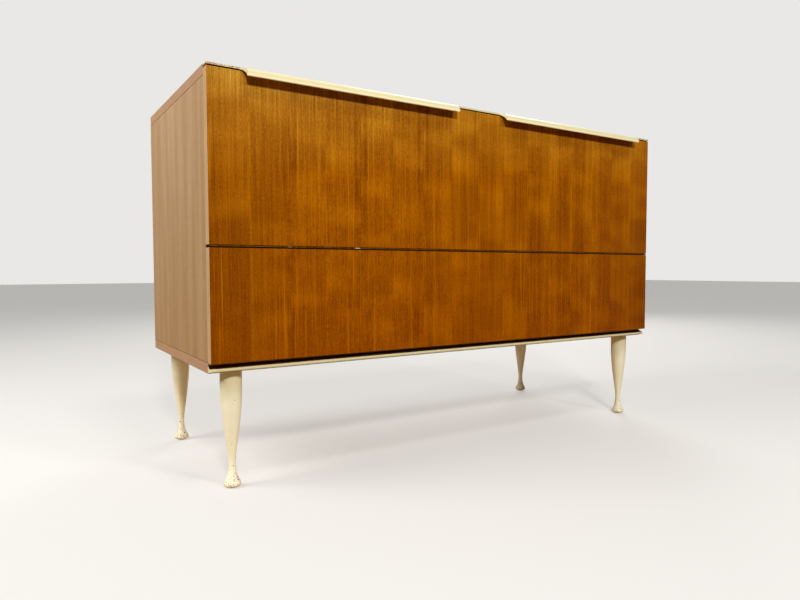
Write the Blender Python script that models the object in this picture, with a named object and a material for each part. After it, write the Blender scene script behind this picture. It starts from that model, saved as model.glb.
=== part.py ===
"""A low linen chest with a drop-front flap, on four turned legs.

The case is a box of veneered boards: the top and bottom boards cap the side panels, and a thin
back sits in a rebate. The lower part of the front is a fixed panel. The upper part is a flap: a
piano hinge along its lower edge lets it down to the front by a right angle, and a quadrant stay
at each end carries it there. A lacquered strip along the flap's top edge has a hooked nose, which
is cut away but for two grips. Sizes are in metres, +Z is up, the front faces -Y, and the origin is
on the floor under the middle of the overall box.
"""

import math

import bmesh
import bpy
from mathutils import Matrix, Vector

# Overall sizes
WIDTH = 1.200
HEIGHT = 0.760
CASE_DEPTH = 0.448
LEG_HEIGHT = 0.220  # floor to the underside of the case
GAP = 0.0003  # left between faces that touch

# Boards
BOARD = 0.020  # thickness of the top and bottom boards
SIDE = 0.018  # thickness of the side panels
FRONT = 0.019  # thickness of the flap and the lower front panel
ARRIS = 0.0006  # chamfer along the edges of the veneered boards
BACK = 0.004  # thickness of the hardboard back
BACK_LAP = 0.010  # how far the back reaches into its rebate
BACK_RECESS = 0.002  # how far the back lies inside the case's rear edges

# Front
LOWER_PANEL_HEIGHT = 0.204
LOWER_PANEL_LAP = 0.0015  # how far the lower panel reaches below the bottom board's upper face
FLAP_REVEAL = 0.0015  # how far the flap's top lies below the top of the case

# Strip on the flap's top edge, with two hooded grips
STRIP = 0.006  # thickness
LIP = 0.003  # thickness above the shadow groove
GROOVE = 0.003  # how far the groove reaches behind the flap's face
GRIP_END = 0.0525  # plain strip between the flap's end and a grip
GRIP_MIDDLE = 0.108  # plain strip between the two grips
FILLET = 0.0145  # radius, from above, of the hollow corners where the strip is cut back
FILLET_STEPS = 6
GRIP_PROJECTION = 0.021
GRIP_DROP = 0.0194  # from the top of the strip to the underside of the nose
NOSE = 0.0036  # thickness of the grip's nose
HOOD_TOP_PULL = (0.0095, 0.0032)  # how far the hood's curve reaches towards its handles, at the face
HOOD_NOSE_PULL = (0.0004, 0.0124)  # and at the nose
HOLLOW_NOSE_PULL = (0.0043, 0.0049)  # the same for the hollow under the hood, at the nose
HOLLOW_BACK_PULL = (0.007, 0.0006)  # and at the groove
HOOD_STEPS = 6

# Moulding on the bottom board's front edge
MOULDING_SETBACK = 0.005  # from the front face to the nose
MOULDING_BACK = 0.0076  # height at the board
MOULDING_NOSE = 0.0048  # height at the nose
MOULDING_RISE = 0.0028  # how far the underside rises towards the nose
MOULDING_RAISE = 0.001  # how far the moulding lies above the case's underside
MOULDING_CORNER = 0.004  # radius, from above, of its two front corners
CORNER_STEPS = 3

# Piano hinge
KNUCKLE = 0.0044  # diameter
LEAF = 0.0008  # thickness of the leaves
LEAF_WIDTH = 0.0145  # from the hinge's axis to the leaf's rear edge
LEAF_ROOT = 0.0009  # from the hinge's axis to where the flat of a leaf meets its roll
HINGE_INSET = 0.002  # from the panel's end to the leaf's end
HINGE_SETBACK = 0.0022  # from the front face to the hinge's axis
KNUCKLE_COUNT = 39
KNUCKLE_PLAY = 0.0005  # between two knuckles
ROLL = math.radians(295)  # how far a leaf's edge is rolled round the pin
ROLL_STEPS = 6
PIN = 0.0020  # diameter
PIN_PLAY = 0.00015  # between the pin and the knuckles, all round
HINGE_SCREW_COUNT = 8  # in each leaf
HINGE_SCREW_PROUD = 0.0002  # how far their heads stand above the leaf
OPEN_ANGLE = math.radians(90)

# Quadrant stays
STAY_CLEAR = 0.030  # between the stay's stop at its highest and the top board
STAY_BAR = 0.012  # width of the bar
STAY_THICKNESS = 0.0025
STAY_SIDE_PLAY = 0.001  # between the bar and the side panel
STAY_NIB = 0.004  # how far the stop stands out on both sides of the bar
STAY_NIB_LENGTH = 0.010
STAY_FOOT = (0.016, 0.0025, 0.044)  # width, thickness and height of the plate on the flap
STAY_STEPS = 22
GUIDE_ANGLE = math.radians(16)  # from upright to the guide, round the hinge's axis
GUIDE_LENGTH = 0.016
GUIDE_STRAP = 0.0015  # thickness of the bent strap
GUIDE_FLANGE = 0.011
GUIDE_PLAY = 0.0008  # between the bar and the strap

# Catches
CATCH_OFFSET = 0.300  # from the middle of the chest
CATCH_BODY = (0.030, 0.015, 0.013)
CATCH_EAR = 0.012  # length of the ears with the screws
CATCH_EAR_THICKNESS = 0.003
MAGNET = (0.020, 0.010, 0.008)
MAGNET_PROUD = 0.0006
STRIKE = (0.036, 0.0015, 0.011)

# Rail and cleat behind the lower front panel
RAIL = (0.020, 0.060)  # thickness and height
CLEAT = (0.018, 0.018)
CLEAT_CLEAR = 0.020  # between the cleat's end and the leg nut

# Legs
LEG_INSET_SIDE = 0.050  # from the case's side to the leg's axis
LEG_INSET_FRONT = 0.029
LEG_INSET_BACK = 0.029
LEG_TOP_RADIUS = 0.0199
LEG_BELLY_RADIUS = 0.0203
LEG_BELLY_DROP = 0.022  # from the case down to the leg's widest turn
LEG_NECK_RADIUS = 0.0062
LEG_NECK_HEIGHT = 0.046
LEG_FOOT_RADIUS = 0.0160
LEG_FOOT_HEIGHT = 0.0075
LEG_SOLE_RADIUS = 0.0125
LEG_SIDES = 20
SOLE_ROUND = 0.0022  # how far the curves reach towards their handles, from the sole up
FOOT_PULL = (0.0012, 0.006)
NECK_PULL = (0.026, 0.024)  # below and above the neck
BELLY_PULL = 0.072
SOLE_STEPS, FOOT_STEPS, BELLY_STEPS = 2, 6, 7
GLIDE_RADIUS = 0.009
GLIDE_HEIGHT = 0.0025
GLIDE_ROUND = 0.0014  # how far the sole's edge is rounded off
GLIDE_STEM = (0.0015, 0.012)  # radius and length
LEG_BOLT = (0.004, 0.040)  # radius, and length in the leg
NUT_BARREL = (0.0055, 0.013)  # radius and length
NUT_FLANGE = (0.010, 0.0015)

# Dowels
DOWEL = (0.004, 0.030)  # radius and length
DOWEL_CHAMFER = 0.0008
DOWEL_IN_BOARD = 0.012  # depth in the face of a board
CORNER_DOWEL_COUNT = 3  # in each corner joint
RAIL_DOWEL_COUNT = 2  # at each end of the rail
DOWEL_MARGIN = 0.060  # from a board's edge to the first dowel

# Screws: head radius, head height, shank radius, length
HINGE_SCREW = (0.0024, 0.0014, 0.0011, 0.014)
STAY_SCREW = (0.0030, 0.0018, 0.0014, 0.013)
CATCH_SCREW = (0.0026, 0.0016, 0.0013, 0.012)
PANEL_SCREW = (0.0036, 0.0026, 0.0018, 0.030)
PANEL_SCREW_COUNT = 4  # through the rail into the lower front panel

# Facets
SCREW_SIDES = 8
ROUND_SIDES = 12  # of bolts, nuts, glides and the hinge pin
SMOOTH_ANGLE = math.radians(35)  # edges under it are shaded smooth on round pieces

# Places that follow from the sizes
DEPTH = GRIP_PROJECTION + FRONT + GAP + CASE_DEPTH
FACE_Y = GRIP_PROJECTION - DEPTH / 2  # the front faces of the flap and the lower panel
PANEL_REAR_Y = FACE_Y + FRONT
CASE_FRONT_Y = PANEL_REAR_Y + GAP
CASE_REAR_Y = CASE_FRONT_Y + CASE_DEPTH
FLOOR_Z = LEG_HEIGHT + BOARD  # upper face of the bottom board
CEILING_Z = HEIGHT - BOARD  # lower face of the top board
PANEL_FOOT_Z = FLOOR_Z - LOWER_PANEL_LAP
PANEL_HEAD_Z = PANEL_FOOT_Z + LOWER_PANEL_HEIGHT
SEAM = KNUCKLE + 2 * GAP
HINGE_Y = FACE_Y + HINGE_SETBACK
HINGE_Z = PANEL_HEAD_Z + SEAM / 2
FLAP_FOOT_Z = PANEL_HEAD_Z + SEAM
FLAP_HEAD_Z = HEIGHT - FLAP_REVEAL
INNER_X = WIDTH / 2 - SIDE  # inner faces of the side panels
HINGE_AXIS = Vector((0, HINGE_Y, HINGE_Z))
STAY_RADIUS = CEILING_Z - HINGE_Z - STAY_CLEAR - STAY_NIB - STAY_BAR / 2  # to the middle of the bar
BACK_FRONT_Y = CASE_REAR_Y - BACK_RECESS - BACK


def material(name, colour, roughness, metallic=0.0):
    """A plain Principled material."""
    made = bpy.data.materials.new(name)
    made.use_nodes = True
    shader = made.node_tree.nodes["Principled BSDF"]
    shader.inputs["Base Color"].default_value = (*colour, 1)
    shader.inputs["Roughness"].default_value = roughness
    shader.inputs["Metallic"].default_value = metallic
    return made


def to_mesh(name, bm, look, smooth=False):
    """Turns a bmesh into a mesh with its faces outwards."""
    bmesh.ops.recalc_face_normals(bm, faces=bm.faces)
    mesh = bpy.data.meshes.new(name)
    bm.to_mesh(mesh)
    bm.free()
    mesh.materials.append(look)
    if smooth:
        mesh.shade_smooth()
        mesh.set_sharp_from_angle(angle=SMOOTH_ANGLE)
    return mesh


def put(name, mesh, place, parent=None):
    """An object of a mesh at a placement in the world. A parent is only moved, never turned."""
    made = bpy.data.objects.new(name, mesh)
    bpy.context.scene.collection.objects.link(made)
    made.matrix_world = place
    if parent:
        made.parent = parent
        made.location -= parent.location
    return made


def to_object(name, bm, look, at=(0, 0, 0), parent=None, smooth=False):
    """Turns a bmesh around AT, a point in the world, into an object."""
    return put(name, to_mesh(name, bm, look, smooth), Matrix.Translation(at), parent)


def as_cutter(made):
    """Keeps an object as a tool for cuts, not as a piece."""
    made.hide_render = True
    made.display_type = "WIRE"
    return made


def boolean(made, tool, operation="DIFFERENCE"):
    """Cuts a tool out of a piece, or adds it."""
    step = made.modifiers.new(operation.lower(), "BOOLEAN")
    step.operation = operation
    step.object = tool


def chamfer(made, width):
    """Takes the arris off the edges of a board."""
    step = made.modifiers.new("arris", "BEVEL")
    step.width = width
    step.segments = 1


def add_box(bm, low, high):
    """Adds a box between two corners to a bmesh."""
    low, high = Vector(low), Vector(high)
    size = high - low
    place = Matrix.Translation((low + high) / 2) @ Matrix.Diagonal((*size, 1))
    bmesh.ops.create_cube(bm, size=1, matrix=place)


def board(name, low, high, look, parent=None):
    """A board between two corners in the world, with its origin at its middle."""
    middle = (Vector(low) + Vector(high)) / 2
    bm = bmesh.new()
    add_box(bm, Vector(low) - middle, Vector(high) - middle)
    return to_object(name, bm, look, middle, parent)


def prism(bm, corners, along):
    """Adds a flat face through CORNERS, extruded by the vector ALONG, to a bmesh."""
    face = bm.faces.new([bm.verts.new(corner) for corner in corners])
    grown = bmesh.ops.extrude_face_region(bm, geom=[face])
    moved = [v for v in grown["geom"] if isinstance(v, bmesh.types.BMVert)]
    bmesh.ops.translate(bm, verts=moved, vec=along)


def extruded(bm, outline, low_x, high_x):
    """Adds an outline of (y, z) points, extruded between two X values, to a bmesh."""
    prism(bm, [(low_x, y, z) for y, z in outline], (high_x - low_x, 0, 0))


def cut_from_above(name, piece, outlines, look, parent=None):
    """Cuts outlines of (x, y) points in the world through the whole height of a piece."""
    bm = bmesh.new()
    for outline in outlines:
        prism(bm, [(x, y, 0) for x, y in outline], (0, 0, 2 * HEIGHT))
    boolean(piece, as_cutter(to_object(name, bm, look, parent=parent)))


def turned(bm, profile, sides, place=Matrix()):
    """Adds a profile of (radius, z) points, spun round Z and then placed, to a bmesh."""
    corners = [bm.verts.new((radius, 0, z)) for radius, z in profile]
    edges = [bm.edges.new(pair) for pair in zip(corners, corners[1:])]
    path = {"cent": (0, 0, 0), "axis": (0, 0, 1), "angle": 2 * math.pi, "steps": sides}
    bmesh.ops.spin(bm, geom=corners + edges, use_merge=True, **path)
    new = [v for v in bm.verts if not v.tag]
    bmesh.ops.remove_doubles(bm, verts=new, dist=1e-6)
    new = [v for v in bm.verts if not v.tag]
    bmesh.ops.transform(bm, matrix=place, verts=new)
    for v in new:
        v.tag = True


def facing(at, out):
    """The placement that turns +Z to the direction OUT at the point AT."""
    return Matrix.Translation(at) @ Vector(out).to_track_quat("Z", "Y").to_matrix().to_4x4()


def countersunk(size, grow=0.0):
    """Profile of a countersunk screw from its tip up, or of its bore where GROW is given."""
    head, head_height, shank, length = size
    tip = length + grow
    point = 0 if grow else shank
    profile = [(0, -tip), (shank + grow, -tip + point), (shank + grow, -head_height), (head + grow, 0)]
    return profile + [(head + grow, 2 * head_height), (0, 2 * head_height)] if grow else profile + [(0, 0)]


def bores(name, profile, size, places, look, cut, parent):
    """Cuts the bores of a set of fasteners, each at (point, outward direction), out of the pieces CUT."""
    bm = bmesh.new()
    for at, out in places:
        turned(bm, profile(size, GAP), SCREW_SIDES, facing(at, out))
    tool = as_cutter(to_object(name + "_bores", bm, look, parent=parent))
    for piece in cut:
        boolean(piece, tool)


def fasteners(name, profile, size, places, look, cut, parent=None):
    """Like screws, one object each, at {ending of the name: (point, outward direction)}, and their bores."""
    bm = bmesh.new()
    turned(bm, profile(size), SCREW_SIDES)
    mesh = to_mesh(name, bm, look)
    for ending, (at, out) in places.items():
        put(f"{name}_{ending}", mesh, facing(at, out), parent)
    bores(name, profile, size, places.values(), look, cut, parent)


def fused(name, profile, size, places, carrier, look, cut, parent=None):
    """Like fasteners that are one with the piece that carries them, and their bores in the pieces CUT."""
    bm = bmesh.new()
    for at, out in places:
        turned(bm, profile(size), SCREW_SIDES, facing(at, out))
    boolean(carrier, as_cutter(to_object(name, bm, look, parent=parent)), "UNION")
    bores(name, profile, size, places, look, cut, parent)


def spread(count, low, high):
    """COUNT places evenly spaced from LOW to HIGH, both included."""
    return [low + (high - low) * step / (count - 1) for step in range(count)]


def quarter(radius, steps):
    """Points of a quarter circle from (0, 0), where it runs along the first axis, to (radius, radius)."""
    turns = spread(steps + 1, 0, math.pi / 2)
    return [(radius * math.sin(a), radius * (1 - math.cos(a))) for a in turns]


def bezier(start, start_handle, end_handle, end, steps):
    """Points along a cubic curve, without its first one."""
    points = []
    for step in range(1, steps + 1):
        t = step / steps
        weights = ((1 - t) ** 3, 3 * t * (1 - t) ** 2, 3 * t * t * (1 - t), t**3)
        corners = (start, start_handle, end_handle, end)
        points.append(tuple(sum(w * c[axis] for w, c in zip(weights, corners)) for axis in (0, 1)))
    return points


def make_case(wood, hardboard, beech):
    """Top and bottom boards, side panels, back, and what joins them."""
    half = WIDTH / 2
    top = board("top_board", (-half, CASE_FRONT_Y, CEILING_Z), (half, CASE_REAR_Y, HEIGHT), wood)
    bottom = board("bottom_board", (-half, CASE_FRONT_Y, LEG_HEIGHT), (half, CASE_REAR_Y, FLOOR_Z), wood)
    sides = []
    for name, outer, inner in (("left", -half, -INNER_X), ("right", INNER_X, half)):
        low = (outer, CASE_FRONT_Y, FLOOR_Z + GAP)
        high = (inner, CASE_REAR_Y, CEILING_Z - GAP)
        sides.append(board("side_panel_" + name, low, high, wood))
    for piece in (top, bottom):
        chamfer(piece, ARRIS)

    reach_x, low_z, high_z = INNER_X + BACK_LAP, FLOOR_Z - BACK_LAP, CEILING_Z + BACK_LAP
    board("back_panel", (-reach_x, BACK_FRONT_Y, low_z), (reach_x, BACK_FRONT_Y + BACK, high_z), hardboard)
    rebate_low = (-reach_x - GAP, BACK_FRONT_Y - GAP, low_z - GAP)
    rebate_high = (reach_x + GAP, CASE_REAR_Y + BACK, high_z + GAP)
    rebate = as_cutter(board("back_rebate", rebate_low, rebate_high, hardboard))
    for piece in (top, bottom, *sides):
        boolean(piece, rebate)

    dowel_ys = spread(CORNER_DOWEL_COUNT, CASE_FRONT_Y + DOWEL_MARGIN, CASE_REAR_Y - DOWEL_MARGIN)
    for hand, side in zip((-1, 1), sides):
        x = hand * (half - SIDE / 2)
        ends = [(Vector((x, y, CEILING_Z + DOWEL_IN_BOARD)), (0, 0, 1)) for y in dowel_ys]
        ends += [(Vector((x, y, FLOOR_Z - DOWEL_IN_BOARD)), (0, 0, -1)) for y in dowel_ys]
        fused(side.name + "_dowels", dowel, DOWEL, ends, side, beech, (top, bottom))
    return top, bottom, sides


def dowel(size, grow=0.0):
    """Profile of a dowel with chamfered ends, its outer end at z = 0, or of its bore."""
    radius, length = size
    if grow:
        return [(0, -length - grow), (radius + grow, -length - grow), (radius + grow, grow), (0, grow)]
    slope = DOWEL_CHAMFER
    inner = radius - slope
    return [(0, -length), (inner, -length), (radius, -length + slope), (radius, -slope), (inner, 0), (0, 0)]


def make_lower_front(sides, wood, beech, steel, cream):
    """The fixed lower panel, the rail and cleat that carry it, and the moulding below it."""
    half = WIDTH / 2
    low, high = (-half, FACE_Y, PANEL_FOOT_Z), (half, PANEL_REAR_Y, PANEL_HEAD_Z)
    panel = board("lower_front_panel", low, high, wood)
    chamfer(panel, ARRIS)

    thickness, height = RAIL
    rail_low = (-INNER_X + GAP, CASE_FRONT_Y, PANEL_HEAD_Z - height)
    rail_high = (INNER_X - GAP, CASE_FRONT_Y + thickness, PANEL_HEAD_Z)
    rail = board("hinge_rail", rail_low, rail_high, beech)
    cleat_x = half - LEG_INSET_SIDE - NUT_FLANGE[0] - CLEAT_CLEAR
    cleat_low = (-cleat_x, CASE_FRONT_Y, FLOOR_Z + GAP)
    cleat_high = (cleat_x, CASE_FRONT_Y + CLEAT[0], FLOOR_Z + GAP + CLEAT[1])
    cleat = board("lower_cleat", cleat_low, cleat_high, beech)

    rail_y = CASE_FRONT_Y + thickness / 2
    rail_zs = spread(RAIL_DOWEL_COUNT, PANEL_HEAD_Z - height * 3 / 4, PANEL_HEAD_Z - height / 4)
    ends = []
    for x in (-1, 1):
        ends += [(Vector((x * (INNER_X + DOWEL_IN_BOARD), rail_y, z)), (x, 0, 0)) for z in rail_zs]
    fused("hinge_rail_dowels", dowel, DOWEL, ends, rail, beech, sides)

    xs = spread(PANEL_SCREW_COUNT, -cleat_x + DOWEL_MARGIN, cleat_x - DOWEL_MARGIN)
    rail_middle_z = PANEL_HEAD_Z - height / 2
    heads = {
        str(number + 1): (Vector((x, CASE_FRONT_Y + thickness, rail_middle_z)), (0, 1, 0))
        for number, x in enumerate(xs)
    }
    fasteners("front_panel_screw", countersunk, PANEL_SCREW, heads, steel, (rail, panel))

    rear_y, nose_y = CASE_FRONT_Y - GAP, FACE_Y + MOULDING_SETBACK
    foot_z = LEG_HEIGHT + MOULDING_RAISE
    nose_foot_z = foot_z + MOULDING_RISE
    blunt = MOULDING_NOSE / 4
    outline = [
        (rear_y, foot_z),
        (nose_y + blunt, nose_foot_z),
        (nose_y, nose_foot_z + blunt),
        (nose_y, nose_foot_z + MOULDING_NOSE - blunt),
        (nose_y + blunt, nose_foot_z + MOULDING_NOSE),
        (rear_y, foot_z + MOULDING_BACK),
    ]
    bm = bmesh.new()
    extruded(bm, outline, -half, half)
    moulding = to_object("bottom_moulding", bm, cream)
    inner, outer = half - MOULDING_CORNER, half + MOULDING_CORNER
    right = [(inner + x, nose_y + y) for x, y in quarter(MOULDING_CORNER, CORNER_STEPS)]
    right += [(outer, nose_y + MOULDING_CORNER), (outer, nose_y - MOULDING_CORNER)]
    right.append((inner, nose_y - MOULDING_CORNER))
    left = [(-x, y) for x, y in right]
    cut_from_above("moulding_corners", moulding, (left, right), cream)
    return panel


def leaf_outline(up):
    """Outline of a hinge leaf rolled round the pin, in (y, z) from the axis; UP is 1 or -1."""
    outer, inner = KNUCKLE / 2, PIN / 2 + PIN_PLAY
    turns = spread(ROLL_STEPS + 1, 0, ROLL)
    roll = [(-outer * math.sin(a), outer * math.cos(a)) for a in turns]
    bore = [(-inner * math.sin(a), inner * math.cos(a)) for a in reversed(turns)]
    tail = [(LEAF_ROOT, outer - LEAF), (LEAF_WIDTH, outer - LEAF), (LEAF_WIDTH, outer)]
    return [(y, up * z) for y, z in roll + bore + tail]


def make_leaf(name, up, first, brass, parent=None):
    """One leaf of the piano hinge; FIRST says which knuckle, 0 or 1, is its first one."""
    reach = WIDTH / 2 - HINGE_INSET
    pitch = 2 * reach / KNUCKLE_COUNT
    bm = bmesh.new()
    extruded(bm, leaf_outline(up), -reach, reach)
    leaf = to_object(name, bm, brass, HINGE_AXIS, parent)

    notches = bmesh.new()
    radius = KNUCKLE / 2 + KNUCKLE_PLAY
    for place in range(1 - first, KNUCKLE_COUNT, 2):
        low_x = -reach + place * pitch - KNUCKLE_PLAY / 2
        high_x = low_x + pitch + KNUCKLE_PLAY
        low_x = -reach - KNUCKLE if place == 0 else low_x
        high_x = reach + KNUCKLE if place == KNUCKLE_COUNT - 1 else high_x
        add_box(notches, (low_x, -2 * radius, -2 * radius), (high_x, radius, 2 * radius))
    tool = as_cutter(to_object(name + "_notches", notches, brass, HINGE_AXIS, parent))
    boolean(leaf, tool)
    return leaf


def make_hinge(panel, flap_panel, axis, brass, steel):
    """The piano hinge, with its lower leaf on the lower panel and its upper leaf under the flap."""
    lower = make_leaf("hinge_leaf_lower", -1, 0, brass)
    upper = make_leaf("hinge_leaf_flap", 1, 1, brass, axis)
    reach = WIDTH / 2 - HINGE_INSET
    bm = bmesh.new()
    rod = [(0, -reach), (PIN / 2, -reach), (PIN / 2, reach), (0, reach)]
    turned(bm, rod, ROUND_SIDES, Matrix.Rotation(math.pi / 2, 4, "Y"))
    to_object("hinge_pin", bm, steel, HINGE_AXIS)

    inside = KNUCKLE / 2 - LEAF - HINGE_SCREW_PROUD
    screw_y = HINGE_Y + (KNUCKLE / 2 + LEAF_WIDTH) / 2 + KNUCKLE_PLAY
    pitch = 2 * reach / HINGE_SCREW_COUNT
    xs = spread(HINGE_SCREW_COUNT, -reach + pitch / 2, reach - pitch / 2)
    heads = [(Vector((x, screw_y, HINGE_Z - inside)), (0, 0, 1)) for x in xs]
    fused("hinge_screws_lower", countersunk, HINGE_SCREW, heads, lower, steel, (panel,))
    heads = [(Vector((x, screw_y, HINGE_Z + inside)), (0, 0, -1)) for x in xs]
    fused("hinge_screws_flap", countersunk, HINGE_SCREW, heads, upper, steel, (flap_panel,), axis)


def strip_section():
    """The strip's section through a grip, in (y, z) from the flap's top front edge."""
    nose_y, nose_z = -GRIP_PROJECTION, NOSE / 2 - GRIP_DROP
    rear_y, rear_z = nose_y + NOSE * 3 / 4, NOSE / 8 - GRIP_DROP
    (top_pull_y, top_pull_z), (nose_pull_y, nose_pull_z) = HOOD_TOP_PULL, HOOD_NOSE_PULL
    top_handle = (-top_pull_y, -top_pull_z)
    nose_handle = (nose_y + nose_pull_y, nose_z + nose_pull_z)
    outline = [(ARRIS, 0)] + bezier((ARRIS, 0), top_handle, nose_handle, (nose_y, nose_z), HOOD_STEPS)
    outline += [(nose_y + NOSE / 4, -GRIP_DROP), (rear_y, rear_z)]
    (rear_pull_y, rear_pull_z), (back_pull_y, back_pull_z) = HOLLOW_NOSE_PULL, HOLLOW_BACK_PULL
    rear_handle = (rear_y + rear_pull_y, rear_z + rear_pull_z)
    back_handle = (GROOVE - back_pull_y, -LIP - back_pull_z)
    outline += bezier((rear_y, rear_z), rear_handle, back_handle, (GROOVE, -LIP), HOOD_STEPS)
    return outline + [(GROOVE, -STRIP), (FRONT, -STRIP), (FRONT, 0)]


def make_strip(axis, cream):
    """The strip on the flap's top edge: a moulded length that is cut back beside its two grips."""
    half = WIDTH / 2
    shift_y, shift_z = FACE_Y - HINGE_Y, FLAP_HEAD_Z - HINGE_Z
    bm = bmesh.new()
    extruded(bm, [(y + shift_y, z + shift_z) for y, z in strip_section()], -half, half)
    strip = to_object("flap_handle_strip", bm, cream, HINGE_AXIS, axis, smooth=True)

    middle_x, end_x = GRIP_MIDDLE / 2, half - GRIP_END
    beyond_x, beyond_y = half + FRONT, FACE_Y - GRIP_PROJECTION - FRONT
    hollow = [(x, FACE_Y - y) for x, y in quarter(FILLET, FILLET_STEPS)]
    middle = [(middle_x + x, y) for x, y in hollow]
    middle += [(middle_x + FILLET, beyond_y), (-middle_x - FILLET, beyond_y)]
    middle += [(-middle_x - x, y) for x, y in reversed(hollow)]
    right = [(end_x - x, y) for x, y in hollow]
    right += [(end_x - FILLET, beyond_y), (beyond_x, beyond_y), (beyond_x, FACE_Y)]
    left = [(-x, y) for x, y in right]
    cut_from_above("strip_cuts", strip, (left, middle, right), cream, axis)


def make_stays(axis, flap_panel, sides, steel):
    """Quadrant stays on the flap and their guides on the side panels."""
    half_bar = STAY_BAR / 2
    foot_x, foot_y, foot_z = STAY_FOOT
    foot_low_y = PANEL_REAR_Y + GAP - HINGE_Y
    start = math.asin((foot_low_y + foot_y / 2) / STAY_RADIUS)
    seat = math.asin((GUIDE_LENGTH / 2 + GAP) / (STAY_RADIUS - half_bar - STAY_NIB))
    stop = GUIDE_ANGLE + seat + OPEN_ANGLE
    end = stop + STAY_NIB_LENGTH / STAY_RADIUS

    def polar(radius, turn):
        return radius * math.sin(turn), radius * math.cos(turn)

    turns = spread(STAY_STEPS + 1, start, stop)
    outer, inner = STAY_RADIUS + half_bar, STAY_RADIUS - half_bar
    outline = [polar(outer, a) for a in turns]
    outline += [polar(outer + STAY_NIB, stop), polar(outer + STAY_NIB, end)]
    outline += [polar(inner - STAY_NIB, end), polar(inner - STAY_NIB, stop)]
    outline += [polar(inner, a) for a in reversed(turns)]

    channel = half_bar + GUIDE_PLAY
    depth = STAY_SIDE_PLAY + STAY_THICKNESS + GUIDE_PLAY
    outside, top = channel + GUIDE_STRAP, depth + GUIDE_STRAP
    flange = outside + GUIDE_FLANGE
    strap = [(-flange, 0), (-channel, 0), (-channel, depth), (channel, depth), (channel, 0), (flange, 0)]
    strap += [(flange, GUIDE_STRAP), (outside, GUIDE_STRAP), (outside, top)]
    strap += [(-outside, top), (-outside, GUIDE_STRAP), (-flange, GUIDE_STRAP)]

    foot_middle_z = math.sqrt(STAY_RADIUS**2 - foot_low_y**2)
    guide_heads, stay_heads = {}, {}
    guides, stays = [], []
    for name, hand in (("left", -1), ("right", 1)):
        near = hand * (INNER_X - STAY_SIDE_PLAY)
        far = near - hand * STAY_THICKNESS
        bm = bmesh.new()
        extruded(bm, outline, min(near, far), max(near, far))
        stay = to_object("quadrant_stay_" + name, bm, steel, HINGE_AXIS, axis)
        foot_end = near - hand * foot_x
        low = Vector((min(near, foot_end), foot_low_y, foot_middle_z - foot_z / 2)) + HINGE_AXIS
        high = Vector((max(near, foot_end), foot_low_y + foot_y, foot_middle_z + foot_z / 2)) + HINGE_AXIS
        foot = as_cutter(board("quadrant_foot_" + name, low, high, steel, axis))
        boolean(stay, foot, "UNION")
        stays.append(stay)
        screw_x = (far + foot_end) / 2
        for level, shift in (("lower", -foot_z / 3), ("upper", foot_z / 3)):
            head = HINGE_AXIS + Vector((screw_x, foot_low_y + foot_y, foot_middle_z + shift))
            stay_heads[name + "_" + level] = (head, (0, 1, 0))

        bm = bmesh.new()
        extruded(bm, strap, -GUIDE_LENGTH / 2, GUIDE_LENGTH / 2)
        wall = hand * (INNER_X - GAP)
        along = Vector((0, math.cos(GUIDE_ANGLE), -math.sin(GUIDE_ANGLE)))
        radial = Vector((0, math.sin(GUIDE_ANGLE), math.cos(GUIDE_ANGLE)))
        inward = Vector((-hand, 0, 0))
        turn = Matrix((along, radial, inward)).transposed().to_4x4()
        at = HINGE_AXIS + STAY_RADIUS * radial
        at.x = wall
        bmesh.ops.transform(bm, matrix=turn, verts=bm.verts)
        guides.append(to_object("stay_guide_" + name, bm, steel, at))
        for level, reach in (("lower", -1), ("upper", 1)):
            head = at + inward * GUIDE_STRAP + radial * reach * (outside + GUIDE_FLANGE / 2)
            guide_heads[name + "_" + level] = (head, inward)

    fasteners("stay_guide_screw", countersunk, STAY_SCREW, guide_heads, steel, (*guides, *sides))
    fasteners("stay_screw", countersunk, STAY_SCREW, stay_heads, steel, (*stays, flap_panel), axis)


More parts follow.
